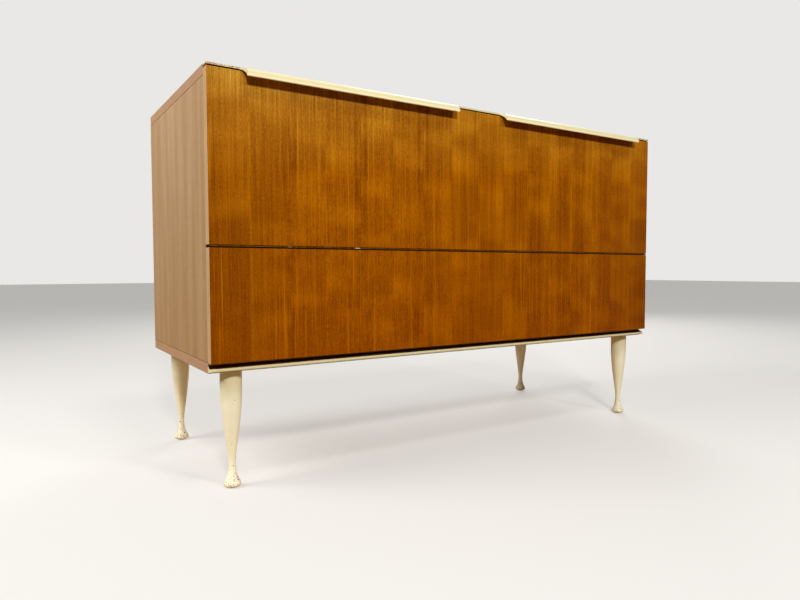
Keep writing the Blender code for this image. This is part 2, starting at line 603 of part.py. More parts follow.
def make_catches(axis, top, flap_panel, plastic, magnet_steel, steel):
    """Magnetic catches under the top board and the strike plates on the flap."""
    body_x, body_y, body_z = CATCH_BODY
    strike_x, strike_y, strike_z = STRIKE
    magnet_x, magnet_y, magnet_z = MAGNET
    strike_low_y = PANEL_REAR_Y + GAP
    magnet_low_y = strike_low_y + strike_y + GAP
    body_low_y = magnet_low_y + MAGNET_PROUD
    high_z = CEILING_Z - GAP
    middle_z = high_z - CATCH_EAR_THICKNESS - (body_z - CATCH_EAR_THICKNESS) / 2
    catch_heads, strike_heads = {}, {}
    housings, strikes = [], []
    for name, hand in (("left", -1), ("right", 1)):
        x = hand * CATCH_OFFSET
        ear = body_x / 2 + CATCH_EAR
        outline = [(-ear, 0), (-ear, -CATCH_EAR_THICKNESS), (-body_x / 2, -CATCH_EAR_THICKNESS)]
        outline += [(-body_x / 2, -body_z), (body_x / 2, -body_z), (body_x / 2, -CATCH_EAR_THICKNESS)]
        outline += [(ear, -CATCH_EAR_THICKNESS), (ear, 0)]
        bm = bmesh.new()
        extruded(bm, outline, 0, body_y)
        bmesh.ops.transform(bm, matrix=Matrix.Rotation(math.pi / 2, 4, "Z"), verts=bm.verts)
        housing = to_object("catch_housing_" + name, bm, plastic, (x, body_low_y, high_z))
        housings.append(housing)
        low = Vector((x - magnet_x / 2, magnet_low_y, middle_z - magnet_z / 2))
        high = Vector((x + magnet_x / 2, magnet_low_y + magnet_y, middle_z + magnet_z / 2))
        board("catch_magnet_" + name, low, high, magnet_steel)
        grown = Vector((GAP, GAP, GAP))
        pocket = as_cutter(board("catch_pocket_" + name, low - grown, high + grown, plastic))
        boolean(housing, pocket)
        ear_z = high_z - CATCH_EAR_THICKNESS
        for ending, side in (("a", -1), ("b", 1)):
            at = Vector((x + side * (body_x + CATCH_EAR) / 2, body_low_y + body_y / 2, ear_z))
            catch_heads[name + "_" + ending] = (at, (0, 0, -1))

        low = (x - strike_x / 2, strike_low_y, middle_z - strike_z / 2)
        high = (x + strike_x / 2, strike_low_y + strike_y, middle_z + strike_z / 2)
        strikes.append(board("strike_plate_" + name, low, high, steel, axis))
        strike_heads[name] = (Vector((x, strike_low_y + strike_y, middle_z)), (0, 1, 0))
    fasteners("catch_screw", countersunk, CATCH_SCREW, catch_heads, steel, (*housings, top))
    fasteners("strike_screw", countersunk, CATCH_SCREW, strike_heads, steel, (*strikes, flap_panel), axis)


def leg_profile():
    """The turned leg from the middle of its sole up to its top and down its bolt's bore."""
    bottom, head, belly = GLIDE_HEIGHT + GAP, LEG_HEIGHT - GAP, LEG_HEIGHT - LEG_BELLY_DROP
    bolt_radius, bolt_depth = LEG_BOLT
    stem_radius, stem_length = GLIDE_STEM
    bore = bolt_radius + GAP
    stem = stem_radius + GAP
    profile = [(0, bottom + stem_length + GAP), (stem, bottom + stem_length + GAP), (stem, bottom)]
    profile.append((LEG_SOLE_RADIUS, bottom))
    profile += bezier(
        (LEG_SOLE_RADIUS, bottom),
        (LEG_SOLE_RADIUS + SOLE_ROUND, bottom),
        (LEG_FOOT_RADIUS, bottom + SOLE_ROUND),
        (LEG_FOOT_RADIUS, LEG_FOOT_HEIGHT),
        SOLE_STEPS,
    )
    profile += bezier(
        (LEG_FOOT_RADIUS, LEG_FOOT_HEIGHT),
        (LEG_FOOT_RADIUS - FOOT_PULL[0], LEG_FOOT_HEIGHT + FOOT_PULL[1]),
        (LEG_NECK_RADIUS, LEG_NECK_HEIGHT - NECK_PULL[0]),
        (LEG_NECK_RADIUS, LEG_NECK_HEIGHT),
        FOOT_STEPS,
    )
    profile += bezier(
        (LEG_NECK_RADIUS, LEG_NECK_HEIGHT),
        (LEG_NECK_RADIUS, LEG_NECK_HEIGHT + NECK_PULL[1]),
        (LEG_BELLY_RADIUS, belly - BELLY_PULL),
        (LEG_BELLY_RADIUS, belly),
        BELLY_STEPS,
    )
    bore_foot = head - bolt_depth - GAP
    profile += [(LEG_TOP_RADIUS, head), (bore, head), (bore, bore_foot), (0, bore_foot)]
    return profile


def make_legs(bottom, cream, steel, plastic):
    """Four turned legs with their bolts, nuts and glides."""
    leg_x = WIDTH / 2 - LEG_INSET_SIDE
    front_y, back_y = CASE_FRONT_Y + LEG_INSET_FRONT, CASE_REAR_Y - LEG_INSET_BACK
    spots = {
        "front_left": (-leg_x, front_y, 0),
        "front_right": (leg_x, front_y, 0),
        "back_left": (-leg_x, back_y, 0),
        "back_right": (leg_x, back_y, 0),
    }
    bolt_radius, bolt_depth = LEG_BOLT
    barrel_radius, barrel_length = NUT_BARREL
    flange_radius, flange_height = NUT_FLANGE
    stem_radius, stem_length = GLIDE_STEM
    nut_foot = FLOOR_Z + GAP - barrel_length
    nut_head = FLOOR_Z + GAP + flange_height
    bolt = [(0, LEG_HEIGHT - GAP - bolt_depth), (bolt_radius, LEG_HEIGHT - GAP - bolt_depth)]
    bolt += [(bolt_radius, nut_head - GAP), (0, nut_head - GAP)]
    hole = bolt_radius + GAP
    nut = [(hole, nut_foot), (barrel_radius, nut_foot), (barrel_radius, FLOOR_Z + GAP)]
    nut += [(flange_radius, FLOOR_Z + GAP), (flange_radius, nut_head), (hole, nut_head), (hole, nut_foot)]
    glide = [(0, 0), (GLIDE_RADIUS - GLIDE_ROUND, 0), (GLIDE_RADIUS, GLIDE_HEIGHT / 2)]
    glide.append((GLIDE_RADIUS, GLIDE_HEIGHT))
    glide += [(stem_radius, GLIDE_HEIGHT), (stem_radius, GLIDE_HEIGHT + stem_length)]
    glide.append((0, GLIDE_HEIGHT + stem_length))
    bore = [(0, LEG_HEIGHT - BOARD), (barrel_radius + GAP, LEG_HEIGHT - BOARD)]
    bore += [(barrel_radius + GAP, FLOOR_Z + BOARD), (0, FLOOR_Z + BOARD)]
    kinds = {
        "leg": (leg_profile(), LEG_SIDES, cream),
        "leg_bolt": (bolt, ROUND_SIDES, steel),
        "leg_nut": (nut, ROUND_SIDES, steel),
        "foot_glide": (glide, ROUND_SIDES, plastic),
    }
    for piece, (profile, sides, look) in kinds.items():
        bm = bmesh.new()
        turned(bm, profile, sides)
        mesh = to_mesh(piece, bm, look, smooth=True)
        for name, spot in spots.items():
            put(f"{piece}_{name}", mesh, Matrix.Translation(spot))
    bm = bmesh.new()
    for spot in spots.values():
        turned(bm, bore, ROUND_SIDES, Matrix.Translation(spot))
    boolean(bottom, as_cutter(to_object("leg_bores", bm, steel)))


def main():
    for old in list(bpy.data.objects):
        bpy.data.objects.remove(old)
    front_veneer = material("satin_front_veneer", (0.40, 0.17, 0.04), 0.35)
    side_veneer = material("matt_side_veneer", (0.52, 0.36, 0.21), 0.55)
    cream = material("cream_lacquer", (0.82, 0.74, 0.52), 0.35)
    hardboard = material("hardboard", (0.30, 0.20, 0.12), 0.75)
    beech = material("beech", (0.62, 0.45, 0.28), 0.60)
    steel = material("bright_steel", (0.60, 0.60, 0.58), 0.30, 1.0)
    brass = material("brassed_steel", (0.55, 0.47, 0.30), 0.35, 1.0)
    plastic = material("white_plastic", (0.75, 0.74, 0.70), 0.45)
    magnet = material("ferrite_magnet", (0.08, 0.08, 0.09), 0.60)

    axis = bpy.data.objects.new("flap_axis", None)
    bpy.context.scene.collection.objects.link(axis)
    axis.location = HINGE_AXIS

    top, bottom, sides = make_case(side_veneer, hardboard, beech)
    panel = make_lower_front(sides, front_veneer, beech, steel, cream)
    head_z = FLAP_HEAD_Z - STRIP - GAP
    flap = board(
        "flap_panel", (-WIDTH / 2, FACE_Y, FLAP_FOOT_Z), (WIDTH / 2, PANEL_REAR_Y, head_z), front_veneer, axis
    )
    chamfer(flap, ARRIS)
    make_strip(axis, cream)
    make_hinge(panel, flap, axis, brass, steel)
    make_stays(axis, flap, sides, steel)
    make_catches(axis, top, flap, plastic, magnet, steel)
    make_legs(bottom, cream, steel, plastic)


main()
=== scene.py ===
# %% [markdown]
# # Dressing a low linen chest
#
# The chest is a veneered box on four turned legs. Its lower front is a fixed panel, and its upper front
# is a flap that folds down on a piano hinge. A cream lacquered strip runs along the flap's top edge and
# widens into two hooded grips.
#
# The solid model already holds every piece at its real size. This script gives each one its finish, and
# makes again, as smooth surfaces, those that the solid model draws with few facets. The boards keep
# their solids, because a flat board with a fine chamfer is already the right shape.

import bmesh
import bpy
import numpy as np
from mathutils import Matrix, Vector


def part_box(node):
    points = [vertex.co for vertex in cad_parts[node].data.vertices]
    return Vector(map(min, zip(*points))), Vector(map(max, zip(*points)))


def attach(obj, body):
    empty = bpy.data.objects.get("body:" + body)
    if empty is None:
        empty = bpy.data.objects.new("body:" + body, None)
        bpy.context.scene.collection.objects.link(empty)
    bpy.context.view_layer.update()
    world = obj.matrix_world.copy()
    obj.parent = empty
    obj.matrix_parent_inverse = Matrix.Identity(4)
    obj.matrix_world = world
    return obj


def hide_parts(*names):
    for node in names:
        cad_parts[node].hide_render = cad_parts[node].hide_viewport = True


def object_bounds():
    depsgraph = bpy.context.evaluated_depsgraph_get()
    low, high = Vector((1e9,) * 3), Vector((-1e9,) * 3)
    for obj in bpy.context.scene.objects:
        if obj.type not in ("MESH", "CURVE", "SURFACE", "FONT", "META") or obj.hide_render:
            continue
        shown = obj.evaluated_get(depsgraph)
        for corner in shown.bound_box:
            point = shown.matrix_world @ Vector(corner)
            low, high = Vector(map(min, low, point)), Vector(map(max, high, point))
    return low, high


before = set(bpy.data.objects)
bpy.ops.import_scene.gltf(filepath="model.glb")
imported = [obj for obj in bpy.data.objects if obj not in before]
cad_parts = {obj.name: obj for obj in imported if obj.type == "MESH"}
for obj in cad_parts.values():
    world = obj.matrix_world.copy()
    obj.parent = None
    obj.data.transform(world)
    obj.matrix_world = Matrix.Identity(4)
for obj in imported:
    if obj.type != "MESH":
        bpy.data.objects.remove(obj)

CAD_BOX = [list(corner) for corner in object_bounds()]
MM = 0.001
print("pieces in the frame:", len(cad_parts))
print("box in mm:", [[round(value / MM, 1) for value in corner] for corner in CAD_BOX])

# %% [markdown]
# ## Where things are
#
# Every place below is read from the frame, so a finish or a new surface follows the solids. The flap's
# box gives the front face and the two ends, and the boards give the joints.

# %% Read the main places
flap_low, flap_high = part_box("flap_panel")
side_low, side_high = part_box("side_panel_left")
strip_low, strip_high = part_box("flap_handle_strip")
bottom_low, bottom_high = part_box("bottom_board")
back_low, back_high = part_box("back_panel")
top_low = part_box("top_board")[0]
HALF = flap_high.x
FACE_Y = flap_low.y
CASE_FRONT_Y = top_low.y
SEAM_Z = (flap_low.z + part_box("lower_front_panel")[1].z) / 2
print(f"half width {HALF / MM:.1f} mm, front face at y = {FACE_Y / MM:.2f} mm")
print(f"the seam between flap and lower panel is at z = {SEAM_Z / MM:.1f} mm")

# %% [markdown]
# ## Camera
#
# The photograph was taken from the left, at half the chest's height, with a wide lens. Its view was
# worked out from the chest's own edges, and the numbers below are that fit. The camera looks along its
# own -Z, so it is tipped up by a right angle, turned to the right, and rolled by a tenth of a degree.

# %% Place the camera
CAMERA_AT = (-0.8994, -1.3022, 0.4027)
LENS_MM = 27.86
YAW, PITCH, ROLL = np.radians([32.62, 2.77, -0.12])
camera = bpy.data.objects.new("camera", bpy.data.cameras.new("camera"))
bpy.context.scene.collection.objects.link(camera)
camera.data.sensor_width = 36
camera.data.lens = LENS_MM
turn = Matrix.Rotation(-YAW, 4, "Z") @ Matrix.Rotation(np.pi / 2 - PITCH, 4, "X")
camera.matrix_world = Matrix.Translation(CAMERA_AT) @ turn @ Matrix.Rotation(ROLL, 4, "Z")
bpy.context.scene.camera = camera
bpy.context.scene.view_settings.view_transform = "Standard"
print(f"the camera stands {FACE_Y - CAMERA_AT[1]:.2f} m in front of the flap")

# %% [markdown]
# ## Colours and nodes
#
# Colours are written as sRGB hex values, as a paint card gives them. A renderer adds light in linear
# values, so one function turns them. A second function adds a node to a material's tree, with its own
# settings and with a value, a socket or a node for each of its inputs. A third starts a material from
# the values that are the same all over it, and a fourth gives it its colour and its dents. Written out
# like this, a tree can be read and made again, which one drawn by hand can't.


# %% Turn hex colours to linear ones
def linear(colour):
    """A hex colour as linear RGBA: near black it is a straight line, above that a power of 2.4."""
    share = np.array([int(colour[place : place + 2], 16) for place in (1, 3, 5)]) / 255
    curved = ((share + 0.055) / 1.055) ** 2.4
    return (*np.where(share <= 0.04045, share / 12.92, curved).tolist(), 1.0)


print("mid grey in linear light:", [round(value, 3) for value in linear("#808080")])


# %% Add a node with its settings and links
def add(tree, kind, inputs=None, **settings):
    """Adds a shader node. An input takes a value, a socket, or a node whose first output is used."""
    node = tree.nodes.new("ShaderNode" + kind)
    for name, value in settings.items():
        setattr(node, name, value)
    for name, value in (inputs or {}).items():
        if isinstance(value, bpy.types.Node):
            value = next(output for output in value.outputs if output.enabled)
        if isinstance(value, bpy.types.NodeSocket):
            tree.links.new(value, node.inputs[name])
        else:
            node.inputs[name].default_value = value
    return node


def new_material(name, **sockets):
    """A material whose Principled shader holds the values that are the same all over."""
    made = bpy.data.materials.new(name)
    made.use_nodes = True
    shader = made.node_tree.nodes["Principled BSDF"]
    for socket, value in sockets.items():
        shader.inputs[socket.replace("_", " ")].default_value = value
    return made, made.node_tree, shader


def colour_and_dents(tree, shader, colour, height, strength, depth_mm, **settings):
    """Gives a shader its colour, from a mixing node, and a bump DEPTH_MM high where HEIGHT is 1."""
    tree.links.new(colour.outputs[2], shader.inputs["Base Color"])
    dent = add(tree, "Bump", {"Strength": strength, "Distance": depth_mm * MM, "Height": height}, **settings)
    tree.links.new(dent.outputs[0], shader.inputs["Normal"])


print("functions: linear, add, new_material and colour_and_dents")

# %% [markdown]
# ## Wood grain
#
# A sliced veneer shows three sizes of pattern. Soft bands follow the growth rings, a centimetre or two
# apart. Fine streaks a millimetre or two wide are bundles of pores, which run out after a few
# centimetres. Single pores are short dark dashes, under a millimetre wide, and they also dent the
# varnish.
#
# A Wave texture draws wood too, but its lines are endless and evenly spaced. Noise that is stretched
# along the grain fades in and out as sliced fibres do. The place is divided by a real size in
# millimetres, so a spot of the noise is about as large as that.


# %% Functions for the grain of one board
BAND_MM, STREAK_MM, PORE_MM = (17, 800), (2, 60), (0.9, 16)


def position(tree):
    """The place on a piece, as three sockets: X, Y and Z."""
    return add(tree, "SeparateXYZ", {0: add(tree, "TexCoord").outputs["Object"]}).outputs[0:3]


def stretched_noise(tree, place, size_mm, detail, layer=1.0):
    """Noise with spots of SIZE_MM (width, length). LAYER is how fast it changes from leaf to leaf."""
    scale = (1 / (size_mm[0] * MM), layer, 1 / (size_mm[1] * MM))
    scaled = add(tree, "VectorMath", {0: place, 1: scale}, operation="MULTIPLY")
    return add(tree, "TexNoise", {"Vector": scaled, "Scale": 1.0, "Detail": detail})


def grain(tree, across, along, sheet=0.0, band_mm=BAND_MM, streak_mm=STREAK_MM):
    """Bands, streaks and pores, each a noise node from 0 to 1. All sizes are (width, length) in mm."""
    place = add(tree, "CombineXYZ", {0: across, 1: sheet, 2: along})
    patterns = ((band_mm, 2.0), (streak_mm, 2.5), (PORE_MM, 1.0))
    return [stretched_noise(tree, place, size_mm, detail) for size_mm, detail in patterns]


print("plain grain, width and length in mm:", BAND_MM, STREAK_MM, PORE_MM)

# %% [markdown]
# ## Front veneer
#
# The flap and the lower panel are faced with straight-grained veneer under a satin orange-brown varnish.
# The leaves are 75 mm wide, a sixteenth of the front, and each second one is turned over like a page,
# so the grain is mirrored at every joint. The pattern runs through the seam, because both panels were
# cut from one veneered sheet.
#
# Sixteen strips with a material each would be one way to make it. It is simpler to fold the place:
# `PINGPONG` turns the way across the front into one leaf and back. The leaf's number moves each leaf a
# little through the noise, so that neighbours are alike but not the same.

# %% Fold the front into leaves
LEAVES, NEXT_SHEET = 16, 0.13
LEAF = 2 * HALF / LEAVES
FRONT_BAND_MM, FRONT_STREAK_MM = (9, 800), (1.6, 130)
front_veneer, tree, shader = new_material("satin_varnished_veneer", Roughness=0.40, Specular_IOR_Level=0.025)
x, y, z = position(tree)
leaf = add(tree, "Math", {0: x, 1: 1 / LEAF, 2: HALF / LEAF}, operation="MULTIPLY_ADD")
number = add(tree, "Math", {0: leaf}, operation="FLOOR")
folded = add(tree, "Math", {0: leaf, 1: 1.0}, operation="PINGPONG")
across = add(tree, "Math", {0: folded, 1: LEAF}, operation="MULTIPLY")
sheet = add(tree, "Math", {0: number, 1: NEXT_SHEET}, operation="MULTIPLY")
bands, streaks, pores = grain(tree, across, z, sheet, FRONT_BAND_MM, FRONT_STREAK_MM)
print(f"{LEAVES} leaves of {LEAF / MM:.0f} mm")

# %% [markdown]
# Turning a leaf also turns its shimmer: where one leaf is bright the next is dark, which makes soft
# blocks with a sharp edge at the joint. A tilted normal would show that only where a lamp is mirrored,
# so the shimmer is painted into the tone as a painted sheen: a soft noise, whose sign changes from leaf
# to leaf. Its dark side is held back, and every leaf has a painted sheen a little brighter along one of
# its edges.

# %% Painted sheen that turns with the leaf
SHIMMER_MM, SHIMMER, DARKEST, EDGE_LIGHT = (150, 60), 0.9, -0.07, 0.16
on_leaf = add(tree, "CombineXYZ", {0: across, 1: sheet, 2: z})
# The shimmer below is a painted sheen in the tone, not a tilted normal.
shimmer = stretched_noise(tree, on_leaf, SHIMMER_MM, 1.0, layer=2.0)
shimmer = add(tree, "Math", {0: shimmer, 1: 0.5}, operation="SUBTRACT")
odd = add(tree, "Math", {0: number, 1: 2.0}, operation="FLOORED_MODULO")
sign = add(tree, "Math", {0: odd, 1: -2.0, 2: 1.0}, operation="MULTIPLY_ADD")
shimmer = add(tree, "Math", {0: shimmer, 1: sign}, operation="MULTIPLY")
shimmer = add(tree, "Math", {0: shimmer, 1: DARKEST}, operation="MAXIMUM")
edge = add(tree, "Math", {0: folded, 1: EDGE_LIGHT, 2: -EDGE_LIGHT / 2}, operation="MULTIPLY_ADD")
shade = add(tree, "Math", {0: shimmer, 1: SHIMMER, 2: edge}, operation="MULTIPLY_ADD")
print(f"shimmer spots {SHIMMER_MM[1]} mm high")

# %% [markdown]
# The tone of the wood is the sum of its patterns: bands, streaks, the painted sheen of the shimmer, and
# a glitter of short fibres. One ramp turns the sum into colour, from a deep brown to a pale gold, and is
# easier to match to a real board than several mixed layers. Open pores lie over it as dark dashes.

# %% Colours of the face
DEEP, MIDDLE, PALE, PORE = "#92590a", "#c28624", "#e2aa3a", "#7a4c10"
BAND_SHARE, STREAK_SHARE, GLITTER_MM = 0.4, 0.8, (2.2, 4.5)
glitter = {"Value": stretched_noise(tree, on_leaf, GLITTER_MM, 0.0), "From Min": 0.3, "From Max": 0.7}
glitter = add(tree, "MapRange", {**glitter, "To Min": -0.07, "To Max": 0.12})
tone = add(tree, "Math", {0: bands, 1: BAND_SHARE, 2: shade}, operation="MULTIPLY_ADD")
tone = add(tree, "Math", {0: streaks, 1: STREAK_SHARE, 2: tone}, operation="MULTIPLY_ADD")
tone = add(tree, "Math", {0: tone, 1: glitter}, operation="ADD")
tone = add(tree, "MapRange", {"Value": tone, "From Min": 0.27, "From Max": 1.01})
face = add(tree, "ValToRGB", {0: tone})
face.color_ramp.elements[0].color = linear(DEEP)
face.color_ramp.elements[1].color = linear(PALE)
face.color_ramp.elements.new(0.5).color = linear(MIDDLE)
open_pores = add(tree, "MapRange", {"Value": pores, "From Min": 0.58, "From Max": 0.72, "To Max": 0.55})
face = add(tree, "Mix", {0: open_pores, 6: face, 7: linear(PORE)}, data_type="RGBA")
print("deep, middle and pale:", DEEP, MIDDLE, PALE)

# %% [markdown]
# Single bright lines stand out where the light catches a ray of the wood. They are a millimetre or so
# wide and as long as a hand or more, and they come in bunches. Towards the left end of the front they
# are painted stronger, a painted highlight of the light that falls there. They are stretched noise
# again, of which only the crests are kept, so that a spot of 2.6 mm leaves a finer line. Multiplying
# them by the bands puts them in bunches.

# %% Bright lines
LINE, LINE_MM = "#f6bc50", (2.6, 230)
strands = stretched_noise(tree, on_leaf, LINE_MM, 1.0, layer=3.0)
lines = add(tree, "MapRange", {"Value": strands, "From Min": 0.58, "From Max": 0.68})
bunched = add(tree, "MapRange", {"Value": bands, "From Min": 0.42, "From Max": 0.60, "To Min": 0.15})
# to_left makes the lines stronger towards the left end: a painted highlight.
to_left = {"Value": x, "From Min": -0.35 * HALF, "From Max": -HALF}
to_left = add(tree, "MapRange", {**to_left, "To Min": 0.35, "To Max": 0.9})
for mask in (bunched, to_left):
    lines = add(tree, "Math", {0: lines, 1: mask}, operation="MULTIPLY")
face = add(tree, "Mix", {0: lines, 6: face, 7: linear(LINE)}, data_type="RGBA")
print("bright lines in", LINE)

# %% [markdown]
# The front is painted brighter in the last few centimetres below the top and towards the left, and
# deeper and redder lower down: a painted fall-off of the light across the front. So the colour is
# multiplied by a ramp that runs down the front from white to a red brown, and that starts further on
# towards the right. Multiplying leaves the grain as it is, just as a tinted varnish does.

# %% Painted light, brightest at the top left
FURTHER_ON, RIGHT_X = 0.16, 0.6 * HALF
start = {"Value": x, "From Min": -HALF, "From Max": RIGHT_X, "To Max": FURTHER_ON}
down = {"Value": z, "From Min": flap_high.z, "From Max": bottom_high.z}
down = add(tree, "MapRange", {**down, "To Min": add(tree, "MapRange", start)})
# This ramp is painted light: white at the top left, falling off to a red brown low down.
painted_falloff = add(tree, "ValToRGB", {0: down})
painted_falloff.color_ramp.elements[0].color = linear("#ffffff")
painted_falloff.color_ramp.elements[1].color = linear("#cd9900")
for share, colour in ((0.13, "#ecd490"), (0.35, "#ddb100")):
    painted_falloff.color_ramp.elements.new(share).color = linear(colour)
face = add(tree, "Mix", {0: 1.0, 6: face, 7: painted_falloff}, data_type="RGBA", blend_type="MULTIPLY")
print("bleached from the flap's top down to the floor of the case")

# %% [markdown]
# Both ends of the front are a little darker in their lower part, a painted shade where less light
# reaches them.

# %% Painted shade on the lower ends
ENDS_FROM, ENDS_FULL = HALF - 170 * MM, HALF - 60 * MM
DIM_FROM_Z, DIM_FULL_Z = 640 * MM, 520 * MM
from_middle = add(tree, "Math", {0: x}, operation="ABSOLUTE")
near_end = add(tree, "MapRange", {"Value": from_middle, "From Min": ENDS_FROM, "From Max": ENDS_FULL})
low_down = {"Value": z, "From Min": DIM_FROM_Z, "From Max": DIM_FULL_Z}
# dimmer is a painted shade in the lower corners of the front.
dimmer = add(tree, "Math", {0: near_end, 1: add(tree, "MapRange", low_down)}, operation="MULTIPLY")
dimmed = {0: dimmer, 6: face, 7: linear("#eeeeee")}
face = add(tree, "Mix", dimmed, data_type="RGBA", blend_type="MULTIPLY")
print(f"darker over the last {(HALF - ENDS_FROM) / MM:.0f} mm at each end")

# %% [markdown]
# The ends of the two front panels are edged with plain pale strips, and so is their fine chamfer. Their
# inner faces carry a paler balancing veneer, which keeps a board from bending. The two long edges at
# the hinge are painted dark brown, a painted shade, so that the seam reads as one thin dark line. Each
# of them could be a material of its own on chosen faces. Comparing the place does it in one material,
# with no face to choose.

# %% Ends and inner faces of the front panels
EDGING, INNER = 0.7 * MM, 1.0 * MM
at_end = add(tree, "Math", {0: from_middle, 1: HALF - EDGING}, operation="GREATER_THAN")
inside = add(tree, "Math", {0: y, 1: FACE_Y + INNER}, operation="GREATER_THAN")
edged = add(tree, "Math", {0: at_end, 1: inside}, operation="MAXIMUM")
pale = add(tree, "Mix", {0: streaks, 6: linear("#b48c5e"), 7: linear("#d6b181")}, data_type="RGBA")
face = add(tree, "Mix", {0: edged, 6: face, 7: pale}, data_type="RGBA")
print(f"edging {EDGING / MM:.1f} mm thick")

# %% Painted shade on the seam's edges, and the dents of the pores
SEAM_SHADE_LAP = 0.1 * MM
off_seam = add(tree, "Math", {0: z, 1: SEAM_Z}, operation="SUBTRACT")
off_seam = add(tree, "Math", {0: off_seam}, operation="ABSOLUTE")
at_seam = add(tree, "Math", {0: off_seam, 1: flap_low.z - SEAM_Z + SEAM_SHADE_LAP}, operation="LESS_THAN")
# The seam's two edges get a painted shade, a dark brown.
face = add(tree, "Mix", {0: at_seam, 6: face, 7: linear("#4a2206")}, data_type="RGBA")
colour_and_dents(tree, shader, face, pores, 0.12, 0.2)
FINISHES = {"flap_panel": front_veneer, "lower_front_panel": front_veneer}
print("front veneer made")

# %% [markdown]
# ## Case veneer
#
# The case is faced with a paler, matt veneer. Its grain stands upright on the side panels, which are a
# little darker towards the bottom, and runs lengthwise on the top and bottom boards, whose ends are
# closed with edge strips. Where two boards meet there is a thin dark joint. A real one is a few tenths
# of a millimetre wide, which the view can't show, so it is drawn wider and fades out to both sides.
#
# Two directions need two materials, and two functions hold what they share.


# %% What both directions share
CASE_BAND_MM, CASE_STREAK_MM, JOINT = (34, 500), (1.7, 40), 1.2 * MM
MATT = {"Roughness": 0.62, "Specular_IOR_Level": 0.08}


def case_wood(tree, across, along):
    """The veneer's colour, two tones by bands and streaks under short dark dashes; and the streaks."""
    bands, streaks, pores = grain(tree, across, along, 0.0, CASE_BAND_MM, CASE_STREAK_MM)
    tone = add(tree, "Math", {0: streaks, 1: 0.7, 2: bands}, operation="MULTIPLY_ADD")
    tone = add(tree, "MapRange", {"Value": tone, "From Min": 0.60, "From Max": 1.10})
    wood = add(tree, "Mix", {0: tone, 6: linear("#ad875c"), 7: linear("#c4a27b")}, data_type="RGBA")
    dashes = add(tree, "MapRange", {"Value": pores, "From Min": 0.58, "From Max": 0.72, "To Max": 0.35})
    wood = add(tree, "Mix", {0: dashes, 6: wood, 7: linear("#8c6440")}, data_type="RGBA")
    return wood, streaks


def close_joints(tree, shader, wood, streaks, up, joints):
    """Draws a dark line where UP is near a height of JOINTS, and gives the shader colour and dents."""
    for height in joints:
        away = add(tree, "Math", {0: up, 1: height}, operation="SUBTRACT")
        away = add(tree, "Math", {0: away}, operation="ABSOLUTE")
        near = {"Value": away, "From Min": JOINT, "From Max": 0.4 * JOINT, "To Max": 0.8}
        near = add(tree, "MapRange", near)
        wood = add(tree, "Mix", {0: near, 6: wood, 7: linear("#5a3722")}, data_type="RGBA")
    colour_and_dents(tree, shader, wood, streaks, 0.15, 0.2)


print(f"joints fade out {JOINT / MM:.1f} mm to each side")

# %% Upright veneer of the sides
upright_veneer, tree, shader = new_material("matt_veneer_upright", **MATT)
x, y, z = position(tree)
wood, streaks = case_wood(tree, add(tree, "Math", {0: x, 1: y}, operation="ADD"), z)
# The side panels are a little darker towards the bottom.
darker_down = {"Value": z, "From Min": side_high.z, "From Max": side_low.z}
darker_down = {0: add(tree, "MapRange", darker_down), 6: wood, 7: linear("#ede7d8")}
wood = add(tree, "Mix", darker_down, data_type="RGBA", blend_type="MULTIPLY")
close_joints(tree, shader, wood, streaks, z, (side_low.z, side_high.z))
FINISHES |= {"side_panel_left": upright_veneer, "side_panel_right": upright_veneer}
print("upright veneer made")

# %% [markdown]
# The boards' ends show the edge strip, whose grain runs from front to back. The bottom board's front
# edge is painted black-brown, a painted shadow, because it shows as the gap above the moulding.

# %% Lengthwise veneer of the top and bottom boards
EDGE_STRIP, GAP_SHADOW_DEPTH = 0.8 * MM, 0.3 * MM
lengthwise_veneer, tree, shader = new_material("matt_veneer_lengthwise", **MATT)
x, y, z = position(tree)
wood, streaks = case_wood(tree, y, x)
strip = grain(tree, z, y)[1]
strip = add(tree, "Mix", {0: strip, 6: linear("#a37a58"), 7: linear("#c8a07c")}, data_type="RGBA")
from_middle = add(tree, "Math", {0: x}, operation="ABSOLUTE")
at_end = add(tree, "Math", {0: from_middle, 1: HALF - EDGE_STRIP}, operation="GREATER_THAN")
wood = add(tree, "Mix", {0: at_end, 6: wood, 7: strip}, data_type="RGBA")
# The bottom board's front edge, seen in the gap, gets a painted shadow.
in_front = add(tree, "Math", {0: y, 1: CASE_FRONT_Y + GAP_SHADOW_DEPTH}, operation="LESS_THAN")
low_down = add(tree, "Math", {0: z, 1: side_low.z}, operation="LESS_THAN")
painted_shadow = add(tree, "Math", {0: in_front, 1: low_down}, operation="MULTIPLY")
wood = add(tree, "Mix", {0: painted_shadow, 6: wood, 7: linear("#341304")}, data_type="RGBA")
close_joints(tree, shader, wood, streaks, z, (bottom_high.z, top_low.z))
FINISHES |= {"top_board": lengthwise_veneer, "bottom_board": lengthwise_veneer}
print("lengthwise veneer made")

# %% [markdown]
# ## Cream lacquer
#
# The strip, the moulding and the legs are wood under a cream nitrocellulose lacquer. It is glossy and
# faintly uneven. It is yellower on the strip and the moulding than on the legs, and it is also painted
# darker there as painted shade and lighter on the legs as painted light, evening out how the light
# falls on them.

# %% Cream lacquer
FRESH_BELOW, MOTTLE_MM = 160 * MM, 26.3
lacquer, tree, shader = new_material("cream_lacquered_wood", Specular_IOR_Level=0.10)
coordinates = add(tree, "TexCoord").outputs["Object"]
x, y, z = add(tree, "SeparateXYZ", {0: coordinates}).outputs[0:3]
from_middle = add(tree, "Math", {0: x}, operation="ABSOLUTE")
mottle = add(tree, "TexNoise", {"Vector": coordinates, "Scale": 1 / (MOTTLE_MM * MM), "Detail": 3.0})
